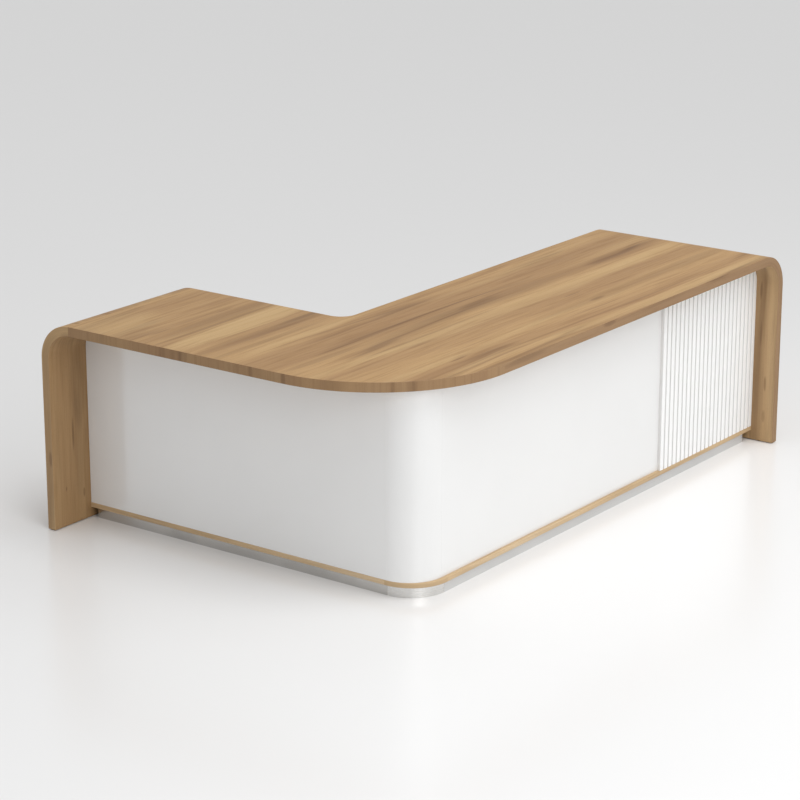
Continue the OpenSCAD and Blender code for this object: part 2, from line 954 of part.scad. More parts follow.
module drawer_sides(i) {
    color("wheat") place() difference() {
        for (u = [box_u0, box_u1 - box_t]) {
            board([u, box_v0, box_z(i)], [u + box_t, box_v1, box_z(i) + box_h(i)]);
        }
        end_fingers(i);
        bottom_slot(i, 0);
    }
}

module drawer_ends(i) {
    color("wheat") place() difference() {
        union() {
            for (v = [box_v0, box_v1 - box_t]) {
                board([box_u0 + box_t, v, box_z(i)], [box_u1 - box_t, v + box_t, box_z(i) + box_h(i)]);
            }
            end_fingers(i);
        }
        bottom_slot(i, 0);
    }
}

module drawer_bottom(i) {
    color("wheat") place() bottom_slot(i, groove_fit);
}

module drawer_handle(i) {
    color("dimgray") place()
        translate([(pedestal_u0 + pedestal_u1) / 2, pedestal_v1, front_zs[i] + front_hs[i] - drawer_h / 2])
        rotate([0, 90, 0]) rotate([0, 0, 90]) bar_handle();
}

module drawer_runners(i) {
    color("silver") place() runner_pair(i) inner_section();
}

module runner_middle(i) {
    color("gray") place() runner_pair(i) middle_section();
}

module drawer_1_front() { drawer_front(0); }
module drawer_1_sides() { drawer_sides(0); }
module drawer_1_ends() { drawer_ends(0); }
module drawer_1_bottom() { drawer_bottom(0); }
module drawer_1_runners() { drawer_runners(0); }
module drawer_1_handle() { drawer_handle(0); }
module runner_1_middle() { runner_middle(0); }

module drawer_2_front() { drawer_front(1); }
module drawer_2_sides() { drawer_sides(1); }
module drawer_2_ends() { drawer_ends(1); }
module drawer_2_bottom() { drawer_bottom(1); }
module drawer_2_runners() { drawer_runners(1); }
module drawer_2_handle() { drawer_handle(1); }
module runner_2_middle() { runner_middle(1); }

module drawer_3_front() { drawer_front(2); }
module drawer_3_sides() { drawer_sides(2); }
module drawer_3_ends() { drawer_ends(2); }
module drawer_3_bottom() { drawer_bottom(2); }
module drawer_3_runners() { drawer_runners(2); }
module drawer_3_handle() { drawer_handle(2); }
module runner_3_middle() { runner_middle(2); }

// The lock is a round head with a key slot, a core through the front and a tongue behind it.
// At rest the tongue lies flat, and a quarter turn stands it up in the slot above.
module drawer_lock() {
    core_l = front_t + 2 * seat_gap + tongue_t;
    color("silver") place() translate([lock_u, pedestal_v1 + seat_gap, lock_z]) rotate([90, 0, 0]) {
        difference() {
            translate([0, 0, -lock_head_h]) cylinder(d = lock_head_d, h = lock_head_h);
            translate([-key_slot[0] / 2, -key_slot[1] / 2, -lock_head_h - past])
                cube([key_slot[0], key_slot[1], key_slot[2] + past]);
        }
        cylinder(d = lock_d, h = core_l);
        translate([-tongue_l, -tongue_w / 2, core_l - tongue_t]) cube([tongue_l, tongue_w, tongue_t]);
    }
}

worktop();
return_end();
main_end();
joint_dowels();
leg_glides();
return_panel();
corner_panel();
main_panel();
slat_panel();
base_return();
base_corner();
base_main();
plinth_return();
plinth_corner();
plinth_main();
plinth_rails();
angle_brackets();
bracket_screws();
cupboard_sides();
cupboard_top();
cupboard_bottom();
cupboard_back();
cupboard_shelf();
shelf_pins();
door_catch();
kick_boards();
cabinet_dowels();
left_door();
left_door_pivots();
left_door_handle();
right_door();
right_door_pivots();
right_door_handle();
pedestal_sides();
pedestal_top();
pedestal_bottom();
pedestal_back();
runner_cases();
drawer_1_front();
drawer_1_sides();
drawer_1_ends();
drawer_1_bottom();
drawer_1_runners();
drawer_1_handle();
runner_1_middle();
drawer_lock();
drawer_2_front();
drawer_2_sides();
drawer_2_ends();
drawer_2_bottom();
drawer_2_runners();
drawer_2_handle();
runner_2_middle();
drawer_3_front();
drawer_3_sides();
drawer_3_ends();
drawer_3_bottom();
drawer_3_runners();
drawer_3_handle();
runner_3_middle();
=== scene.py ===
"""The looks of an L-shaped executive desk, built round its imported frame.

Lengths are in metres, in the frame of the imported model: X along the main arm, away from the return;
Y from the main arm's front towards the user; Z up from the floor.

Every new piece is a closed shell worked out with arrays. Most carry an outline along a track. Each
corner of each face also stores its place in the wood, so the grain can run along a bent board.
"""
import sys
import logging
import math
from collections.abc import Callable, Sequence
from dataclasses import dataclass, field
from enum import Enum

import bpy
import numpy as np
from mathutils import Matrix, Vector


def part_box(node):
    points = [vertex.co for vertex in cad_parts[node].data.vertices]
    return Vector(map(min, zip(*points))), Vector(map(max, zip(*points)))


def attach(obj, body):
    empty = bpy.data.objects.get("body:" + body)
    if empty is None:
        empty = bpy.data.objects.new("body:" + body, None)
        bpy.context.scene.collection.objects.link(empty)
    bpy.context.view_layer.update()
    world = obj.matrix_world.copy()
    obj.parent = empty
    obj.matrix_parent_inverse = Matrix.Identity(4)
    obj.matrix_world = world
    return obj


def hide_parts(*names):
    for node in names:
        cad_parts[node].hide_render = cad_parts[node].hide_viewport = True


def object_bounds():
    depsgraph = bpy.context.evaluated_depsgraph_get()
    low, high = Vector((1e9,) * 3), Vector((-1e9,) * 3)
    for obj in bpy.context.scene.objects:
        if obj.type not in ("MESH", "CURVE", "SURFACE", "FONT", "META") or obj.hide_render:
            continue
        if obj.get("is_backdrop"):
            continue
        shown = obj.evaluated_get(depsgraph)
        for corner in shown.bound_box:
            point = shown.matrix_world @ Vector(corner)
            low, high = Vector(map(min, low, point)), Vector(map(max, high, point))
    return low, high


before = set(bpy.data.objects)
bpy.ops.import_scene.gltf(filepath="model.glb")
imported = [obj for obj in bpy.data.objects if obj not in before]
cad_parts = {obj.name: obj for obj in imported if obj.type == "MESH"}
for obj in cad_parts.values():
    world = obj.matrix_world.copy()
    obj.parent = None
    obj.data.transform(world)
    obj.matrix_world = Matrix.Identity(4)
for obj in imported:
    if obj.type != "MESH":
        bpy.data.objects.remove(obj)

CAD_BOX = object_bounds()
LOG = logging.getLogger("desk")

Array = np.ndarray
Socket = bpy.types.NodeSocket
Triple = tuple[float, float, float]
Colour = Triple
GrainOf = Callable[[Array, Array], Array]
KindOf = Callable[[Array], Array]

X_WAY, Y_WAY, Z_WAY = np.eye(3)
RIGHT_ANGLE = math.pi / 2
# The mesh attribute that holds each corner's place in the wood
GRAIN = "grain"
# Share of a grain's shift that also goes across it
SIDEWAYS = 0.37
# Steps round an eased edge
EASE_STEPS = 4
# A small corner's radius as a multiple of the easing that is drawn in round it
CORNER_OVER_EASE = 1.2
# Turn in degrees past which an edge stays crisp
CRISP_EDGE = 38.0
# Largest turn in degrees between two points of an arc, by how large the arc looks
FINE_TURN, SMOOTH_TURN, DOOR_TURN, COARSE_TURN = 2.5, 5.0, 10.0, 22.5
# Where a mix node keeps its two colours among its inputs, and the blend among its outputs
MIX_COLOURS, MIX_BLEND = (6, 7), 2


def linear(red: int, green: int, blue: int) -> Colour:
    """Turns a colour as seen on a screen, 0 to 255, into the light values that a shader works with.

    Args:
        red, green, blue: the screen colour.

    Returns:
        The three values from 0 to 1, by the usual screen curve.
    """
    seen = np.array([red, green, blue]) / 255
    values = np.where(seen <= 0.04045, seen / 12.92, ((seen + 0.055) / 1.055) ** 2.4)
    return tuple(float(v) for v in values)


def span(node: str) -> tuple[Array, Array]:
    """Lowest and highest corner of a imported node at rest, as two arrays."""
    low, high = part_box(node)
    return np.array(low), np.array(high)


# Shapes

@dataclass(frozen=True)
class Corner:
    """A corner of an outline.

    radius rounds it, and eased says whether the edge that starts here is drawn in where a board is
    eased.
    """

    a: float
    b: float
    radius: float = 0.0
    eased: bool = True


@dataclass(frozen=True)
class Outline:
    """A closed loop in a plane, and the way in which each of its points moves as the loop grows."""

    points: Array
    outward: Array

    @property
    def count(self) -> int:
        """Number of points in the loop."""
        return len(self.points)


def outline_of(corners: list[Corner], turn_step: float) -> Outline:
    """Draws an outline through corners that follow each other anticlockwise.

    A round corner is an arc about the point that lies its radius inside both edges, with the arc's
    own normals. A sharp corner is one point, which moves so that both of its edges move by their
    ease.

    Args:
        corners: the corners in order.
        turn_step: largest turn between two points of an arc, in degrees.

    Returns:
        The outline.
    """
    places = np.array([[c.a, c.b] for c in corners])
    to_next = np.roll(places, -1, axis=0) - places
    along = to_next / np.linalg.norm(to_next, axis=1, keepdims=True)
    normals = np.stack([along[:, 1], -along[:, 0]], axis=1)
    points, outward = [], []
    for i, corner in enumerate(corners):
        before, after = normals[i - 1], normals[i]
        if corner.radius == 0:
            moves = np.array([corners[i - 1].eased, corner.eased], float)
            points.append(places[i][None])
            outward.append(np.linalg.solve(np.array([before, after]), moves)[None])
            continue
        turn = math.atan2(before[0] * after[1] - before[1] * after[0], float(before @ after))
        side = math.copysign(1.0, turn)
        start = places[i] - along[i - 1] * corner.radius * math.tan(abs(turn) / 2)
        centre = start - before * corner.radius * side
        steps = max(EASE_STEPS, math.ceil(math.degrees(abs(turn)) / turn_step))
        angles = math.atan2(before[1], before[0]) + np.linspace(0, turn, steps + 1)
        arc = np.stack([np.cos(angles), np.sin(angles)], axis=1)
        points.append(centre + side * corner.radius * arc)
        outward.append(arc)
    return Outline(np.concatenate(points), np.concatenate(outward))


def oblong(
    low: Sequence[float],
    high: Sequence[float],
    radii: float | tuple[float, ...],
    turn_step: float = COARSE_TURN,
    eased: tuple[bool, ...] = (True, True, True, True),
) -> Outline:
    """A rectangle between two opposite corners, anticlockwise from the lowest.

    Args:
        low, high: the two corners, of which the first two coordinates count.
        radii: the radius of all four corners, or of each in turn.
        turn_step: largest turn between two points of an arc, in degrees.
        eased: whether each edge is eased, from the one that starts at the lowest corner.

    Returns:
        The outline.
    """
    places = (low[0], low[1]), (high[0], low[1]), (high[0], high[1]), (low[0], high[1])
    each = radii if isinstance(radii, tuple) else (radii,) * len(places)
    corners = [Corner(a, b, radius, ease) for (a, b), radius, ease in zip(places, each, eased)]
    return outline_of(corners, turn_step)


@dataclass(frozen=True)
class Track:
    """Stations that an outline is carried along.

    At each station the outline's own two axes point along first and second, and it is drawn in by
    inset. length is the distance gone along the track.
    """

    origin: Array
    first: Array
    second: Array
    inset: Array
    length: Array


def eased_ends(total: float, start: float, end: float) -> tuple[Array, Array]:
    """Stations along a straight length whose two ends are quarter rounds.

    At an angle t round an end of radius r, the distance from the end is r (1 - cos t) and the inset
    is r (1 - sin t).

    Args:
        total: the whole length.
        start: radius of the first end, or 0 for a square end.
        end: radius of the last end, or 0 for a square end.

    Returns:
        The distances along the length, and the insets there.
    """
    angles = np.linspace(0, RIGHT_ANGLE, EASE_STEPS + 1)
    far, drawn = 1 - np.cos(angles), 1 - np.sin(angles)
    first = (start * far, start * drawn) if start else (np.zeros(1), np.zeros(1))
    last = (total - end * far[::-1], end * drawn[::-1]) if end else (np.full(1, total), np.zeros(1))
    return np.concatenate([first[0], last[0]]), np.concatenate([first[1], last[1]])


def along_world(order: tuple[int, int, int], shift: float = 0.0) -> GrainOf:
    """Grain that runs along one of the frame's axes.

    Args:
        order: which of the frame's axes lie along, across and through the grain.
        shift: a distance along the grain, so that two boards don't repeat each other.

    Returns:
        A function from corners' places to places in the wood.
    """
    def grain(world: Array, local: Array) -> Array:
        """Takes the frame's coordinates in the given order."""
        return world[..., list(order)] + np.array([shift, SIDEWAYS * shift, 0.0])
    return grain


def one_kind(local: Array) -> Array:
    """Kind 0 for every face."""
    return np.zeros(len(local), np.int32)


@dataclass
class Shell:
    """A closed surface: a grid of four-sided faces and a few flat caps, with each corner's grain.

    kinds holds a number for each face, grid first, which picks its finish where a piece has more
    than one.
    """

    points: Array
    quads: Array
    quad_grain: Array
    caps: list[Array]
    cap_grain: list[Array]
    kinds: Array

    def volume(self) -> float:
        """The enclosed volume, which is negative where the faces point inwards.

        It adds up, over all triangles, a third of the height of the origin over the triangle times
        its area, with each face cut into a fan of triangles from its first corner.
        """
        def fans(loops: Array) -> float:
            """The share of the faces that have these corners."""
            corners = self.points[loops]
            pairs = np.cross(corners[:, 1:-1], corners[:, 2:])
            return float((corners[:, :1] * pairs).sum() / 6)
        return fans(self.quads) + sum(fans(cap[None]) for cap in self.caps)

    def turned_outwards(self) -> "Shell":
        """The same shell with every face turned round if they pointed inwards."""
        if self.volume() > 0:
            return self
        return Shell(
            self.points,
            self.quads[:, ::-1],
            self.quad_grain[:, ::-1],
            [cap[::-1] for cap in self.caps],
            [grain[::-1] for grain in self.cap_grain],
            self.kinds,
        )

    def to_object(self, name: str) -> bpy.types.Object:
        """Makes the object of that name at the origin, smooth except across its crisp edges."""
        shell = self.turned_outwards()
        mesh = bpy.data.meshes.new(name)
        faces = shell.quads.tolist() + [cap.tolist() for cap in shell.caps]
        mesh.from_pydata(shell.points.tolist(), [], faces)
        stored = mesh.attributes.new(GRAIN, "FLOAT_VECTOR", "CORNER")
        values = np.concatenate([shell.quad_grain.reshape(-1, 3), *shell.cap_grain])
        stored.data.foreach_set("vector", values.astype(np.float32).ravel())
        mesh.polygons.foreach_set("use_smooth", np.ones(len(faces), bool))
        mesh.polygons.foreach_set("material_index", shell.kinds.astype(np.int32))
        mesh.set_sharp_from_angle(angle=math.radians(CRISP_EDGE))
        made = bpy.data.objects.new(name, mesh)
        bpy.context.scene.collection.objects.link(made)
        made.modifiers.new("even_shading", "WEIGHTED_NORMAL").keep_sharp = True
        return made


def carried(
    outline: Outline, track: Track, sides: GrainOf, ends: GrainOf, kinds: KindOf = one_kind
) -> Shell:
    """Carries an outline along a track and closes both ends.

    A point is the station's origin, plus the first axis times (a - inset * na), plus the second
    axis times (b - inset * nb), for an outline point (a, b) that moves along (na, nb).

    Args:
        outline: the loop.
        track: the stations.
        sides: grain of the grid, from the corners' places and their (length, a, b).
        ends: grain of the two caps.
        kinds: kind of each face of the grid, from its corners' (length, a, b). Caps are of kind 0.

    Returns:
        The closed shell.
    """
    flat = outline.points[None] - track.inset[:, None, None] * outline.outward[None]
    points = (
        track.origin[:, None]
        + flat[..., :1] * track.first[:, None]
        + flat[..., 1:] * track.second[:, None]
    )
    lengths = np.broadcast_to(track.length[:, None, None], flat[..., :1].shape)
    local = np.concatenate([lengths, flat], axis=2).reshape(-1, 3)
    places = points.reshape(-1, 3)
    here = np.arange(len(places)).reshape(len(track.length), outline.count)
    quads = quads_between(here)
    caps = [here[0][::-1], here[-1]]
    return Shell(
        places,
        quads,
        sides(places[quads], local[quads]),
        caps,
        [ends(places[cap], local[cap]) for cap in caps],
        np.append(kinds(local[quads]), np.zeros(len(caps), np.int32)),
    )


def quads_between(rings: Array) -> Array:
    """The four-sided faces between each ring of points and the next, from the points' numbers."""
    after = np.roll(rings, -1, axis=1)
    return np.stack([rings[:-1], after[:-1], after[1:], rings[1:]], axis=-1).reshape(-1, 4)


def board_of(
    outline: Outline,
    axes: tuple[int, int, int],
    low: float,
    high: float,
    ease: float,
    sides: GrainOf,
    ends: GrainOf | None = None,
    kinds: KindOf = one_kind,
) -> Shell:
    """A board: an outline carried along one of the frame's axes, eased at both ends.

    Args:
        outline: the board's outline.
        axes: the frame's axes that the outline's two axes and the way through lie along.
        low, high: where the board starts and ends along the last axis.
        ease: radius of the easing.
        sides: grain of the narrow sides, as for carried.
        ends: grain of the two faces, where it differs.
        kinds: kind of each face of the narrow sides.

    Returns:
        The closed shell.
    """
    first, second, way = np.eye(3)[list(axes)]
    length, inset = eased_ends(high - low, ease, ease)
    ones = np.ones((len(length), 1))
    track = Track((low + length)[:, None] * way, ones * first, ones * second, inset, length)
    return carried(outline, track, sides, ends or sides, kinds)


def turned(origin: Array, way: Array, lengths: Array, radii: Array, count: int) -> Shell:
    """A round body, as turned on a lathe: a circle carried along way, drawn in to each radius.

    Args:
        origin: where the axis starts.
        way: unit vector along one of the frame's axes.
        lengths: distances along the axis.
        radii: the body's radius at each of them.
        count: number of points round the circle.

    Returns:
        The closed shell.
    """
    first = np.cross(way, X_WAY if abs(way[2]) > 0.9 else Z_WAY)
    ones = np.ones((len(lengths), 1))
    track = Track(
        origin + lengths[:, None] * way,
        ones * first,
        ones * np.cross(way, first),
        radii.max() - radii,
        lengths,
    )
    angles = np.linspace(0, 2 * math.pi, count, endpoint=False)
    ring = np.stack([np.cos(angles), np.sin(angles)], axis=1)
    plain = along_world((2, 1, 0))
    return carried(Outline(ring * radii.max(), ring), track, plain, plain)


# Finishes

class Recipe:
    """A material under construction: one shader, and short ways to add the nodes that feed it."""

    def __init__(self, name: str) -> None:
        """Starts an empty material of that name."""
        self.material = bpy.data.materials.new(name)
        self.material.use_nodes = True
        self.tree = self.material.node_tree
        self.tree.nodes.clear()
        self.shader = self.tree.nodes.new("ShaderNodeBsdfPrincipled")
        output = self.tree.nodes.new("ShaderNodeOutputMaterial")
        self.tree.links.new(self.shader.outputs["BSDF"], output.inputs["Surface"])

    def feed(self, socket: Socket, value: object) -> None:
        """Links a socket to the given output, or sets it to the given value."""
        if isinstance(value, Socket):
            self.tree.links.new(value, socket)
        elif isinstance(value, tuple) and len(value) == 3 and socket.type == "RGBA":
            socket.default_value = (*value, 1.0)
        else:
            socket.default_value = value

    def surface(self, **values: object) -> None:
        """Feeds the shader's sockets, named with underscores for spaces."""
        for name, value in values.items():
            self.feed(self.shader.inputs[name.replace("_", " ")], value)

    def grain(self) -> Socket:
        """The place in the wood that the mesh stores at each corner."""
        node = self.tree.nodes.new("ShaderNodeAttribute")
        node.attribute_name = GRAIN
        return node.outputs["Vector"]

    def place(self) -> Socket:
        """The place on the object, in metres."""
        return self.tree.nodes.new("ShaderNodeTexCoord").outputs["Object"]

    def parts(self, vector: Socket) -> bpy.types.bpy_prop_collection:
        """The three coordinates of a vector, as a node's outputs."""
        node = self.tree.nodes.new("ShaderNodeSeparateXYZ")
        self.feed(node.inputs[0], vector)
        return node.outputs

    def joined(self, x: object, y: object, z: object) -> Socket:
        """A vector from three coordinates."""
        node = self.tree.nodes.new("ShaderNodeCombineXYZ")
        for socket, value in zip(node.inputs, (x, y, z)):
            self.feed(socket, value)
        return node.outputs[0]

    def maths(self, operation: str, *values: object) -> Socket:
        """One step of arithmetic."""
        node = self.tree.nodes.new("ShaderNodeMath")
        node.operation = operation
        for socket, value in zip(node.inputs, values):
            self.feed(socket, value)
        return node.outputs[0]

    def stretched(self, vector: object, factors: Triple, shift: Triple = (0.0, 0.0, 0.0)) -> Socket:
        """The vector times a factor for each coordinate, plus a shift."""
        node = self.tree.nodes.new("ShaderNodeVectorMath")
        node.operation = "MULTIPLY_ADD"
        for socket, value in zip(node.inputs, (vector, factors, shift)):
            self.feed(socket, value)
        return node.outputs[0]

    def squared(self, vector: Socket) -> Socket:
        """The square of a vector's length."""
        node = self.tree.nodes.new("ShaderNodeVectorMath")
        node.operation = "DOT_PRODUCT"
        self.feed(node.inputs[0], vector)
        self.feed(node.inputs[1], vector)
        return node.outputs["Value"]

    def noise(self, vector: object, detail: float = 2.0, rough: float = 0.5) -> Socket:
        """Smooth noise, about 0.5, with one wave to each unit of the vector."""
        node = self.tree.nodes.new("ShaderNodeTexNoise")
        self.feed(node.inputs["Vector"], vector)
        node.inputs["Scale"].default_value = 1.0
        node.inputs["Detail"].default_value = detail
        node.inputs["Roughness"].default_value = rough
        return node.outputs["Fac"]

    def even(self, waves: float, detail: float = 2.0, rough: float = 0.5) -> Socket:
        """Noise with the same number of waves to the metre each way."""
        return self.noise(self.stretched(self.place(), (waves,) * 3), detail, rough)

    def cells(self, vector: object) -> Socket:
        """Distance to the nearest of scattered seeds, about one to each unit cube of the vector."""
        node = self.tree.nodes.new("ShaderNodeTexVoronoi")
        self.feed(node.inputs["Vector"], vector)
        node.inputs["Scale"].default_value = 1.0
        return node.outputs["Distance"]

    def ranged(
        self, value: object, low: float, high: float, start: float = 0.0, end: float = 1.0
    ) -> Socket:
        """Maps low..high smoothly to start..end, and holds it there outside."""
        node = self.tree.nodes.new("ShaderNodeMapRange")
        node.interpolation_type = "SMOOTHSTEP"
        names = ("Value", "From Min", "From Max", "To Min", "To Max")
        for name, given in zip(names, (value, low, high, start, end)):
            self.feed(node.inputs[name], given)
        return node.outputs["Result"]

    def mixed(self, share: object, a: object, b: object) -> Socket:
        """Two colours, blended by share."""
        node = self.tree.nodes.new("ShaderNodeMix")
        node.data_type = "RGBA"
        self.feed(node.inputs["Factor"], share)
        for number, colour in zip(MIX_COLOURS, (a, b)):
            self.feed(node.inputs[number], colour)
        return node.outputs[MIX_BLEND]

    def clouded(self, colour: Colour, spread: float, waves: float, low: float = 0.3) -> Socket:
        """The colour, which goes slowly to spread times itself in soft clouds.

        Args:
            colour: the colour.
            spread: the factor, near 1.
            waves: clouds to the metre.
            low: the noise where the change starts; it ends as far on the other side of a half.

        Returns:
            The clouded colour.
        """
        other = tuple(c * spread for c in colour)
        return self.mixed(self.ranged(self.even(waves), low, 1 - low), colour, other)

    def bumped(self, height: object, strength: float, depth: float) -> None:
        """Gives the shader a bump from a height, depth metres deep at full strength."""
        node = self.tree.nodes.new("ShaderNodeBump")
        node.inputs["Strength"].default_value = strength
        node.inputs["Distance"].default_value = depth
        self.feed(node.inputs["Height"], height)
        self.feed(self.shader.inputs["Normal"], node.outputs["Normal"])


@dataclass(frozen=True)
class Layer:
    """A noise in the veneer.

    along and across are its waves to the metre that way of the grain, and start shifts it.
    """

    along: float
    across: float
    start: tuple[float, float] = (0.0, 0.0)
    detail: float = 1.0
    rough: float = 0.5

    def laid(self, make: Recipe, place: Socket) -> Socket:
        """The place in the wood, counted in this layer's waves."""
        factors = (self.along, self.across, self.across)
        return make.stretched(place, factors, (*self.start, 0.0))

    def of(self, make: Recipe, place: Socket) -> Socket:
        """The noise at a place in the wood."""
        return make.noise(self.laid(make, place), self.detail, self.rough)


@dataclass(frozen=True)
class Figure:
    """A long oval patch, darker than the rest, or paler below strength 0: mostly a mark in the
    veneer, and in a few places partly painted shade.

    x and y are its middle in the grain's own metres; length and width are half its size that way.
    """

    x: float
    y: float
    length: float
    width: float
    strength: float


INNER_FIGURE = (
    Figure(1.302, -0.715, 0.045, 0.006, 0.45),
    Figure(1.468, -0.722, 0.060, 0.007, 0.35),
    # The next two are partly the veneer's own streaks and partly painted shade: a dark band where the
    # leg meets the slat panel and a pale band towards the front edge, so the face lightens towards
    # the edge.
    Figure(1.600, -0.716, 0.550, 0.026, 0.22),
    Figure(1.600, -0.776, 0.900, 0.026, -0.18),
    Figure(1.668, -0.747, 0.034, 0.006, 0.46),
    Figure(1.800, -0.745, 0.028, 0.007, 0.30),
)
LEG_FIGURE = (
    Figure(4.030, -1.060, 0.160, 0.045, 0.24),
    Figure(4.204, -1.092, 0.070, 0.007, 0.42),
    Figure(4.250, -1.070, 0.220, 0.030, 0.18),
    Figure(4.300, -1.170, 0.400, 0.022, -0.35),
    Figure(4.395, -1.135, 0.014, 0.005, 0.50),
    Figure(4.430, -1.044, 0.018, 0.006, 0.45),
)
EDGE_FIGURE = (
    Figure(-0.560, 0.430, 0.140, 0.012, 0.34),
    Figure(-0.040, 0.430, 0.050, 0.014, 0.48),
    Figure(0.330, 0.432, 0.200, 0.010, 0.28),
    Figure(0.690, 0.424, 0.110, 0.009, 0.50),
    Figure(3.717, -0.423, 0.050, 0.022, 0.30),
    Figure(3.717, -0.124, 0.050, 0.013, 0.42),
    Figure(3.717, 0.013, 0.050, 0.011, 0.48),
    Figure(3.717, 0.180, 0.050, 0.060, 0.24),
    Figure(3.717, 0.330, 0.050, 0.050, -0.30),
    Figure(3.717, 0.440, 0.050, 0.022, 0.30),
    Figure(4.270, 0.427, 0.034, 0.009, 0.50),
)
TOP_FIGURE = (
    Figure(-1.08, 0.560, 0.26, 0.150, -0.45),
    Figure(-1.05, 0.372, 0.08, 0.005, 0.46),
    Figure(-0.72, 0.372, 0.07, 0.005, 0.46),
    Figure(-0.80, 0.384, 0.30, 0.009, 0.22),
    Figure(-0.70, 0.325, 0.60, 0.044, 0.32),
    Figure(-0.85, 0.282, 0.50, 0.010, 0.40),
    Figure(-0.85, 0.200, 0.60, 0.056, -0.75),
    Figure(-0.80, 0.088, 0.60, 0.036, 0.34),
    Figure(-0.95, 0.012, 0.40, 0.018, 0.24),
    Figure(-0.80, -0.045, 0.45, 0.024, -0.40),
    Figure(-0.64, 0.105, 0.20, 0.016, 0.26),
    Figure(-0.90, -0.070, 0.12, 0.006, 0.30),
    Figure(-1.00, -0.270, 0.25, 0.020, 0.26),
    Figure(-0.30, -0.215, 0.50, 0.007, 0.38),
    Figure(0.00, -0.290, 0.95, 0.050, 0.28),
    Figure(0.82, -0.288, 0.34, 0.032, 0.38),
    Figure(0.88, -0.288, 0.12, 0.015, 0.42),
    Figure(0.96, -0.262, 0.10, 0.007, 0.34),
    Figure(0.20, -0.400, 1.30, 0.050, -0.45),
    Figure(0.19, -0.480, 0.07, 0.005, 0.45),
    Figure(0.55, -0.570, 0.90, 0.038, 0.28),
    Figure(0.20, -0.580, 0.06, 0.012, 0.34),
    Figure(-0.73, -0.636, 0.06, 0.005, 0.48),
    Figure(0.10, -0.644, 0.22, 0.005, 0.32),
    Figure(0.20, -0.705, 1.10, 0.008, 0.32),
    Figure(0.60, -0.745, 1.60, 0.026, -0.50),
)


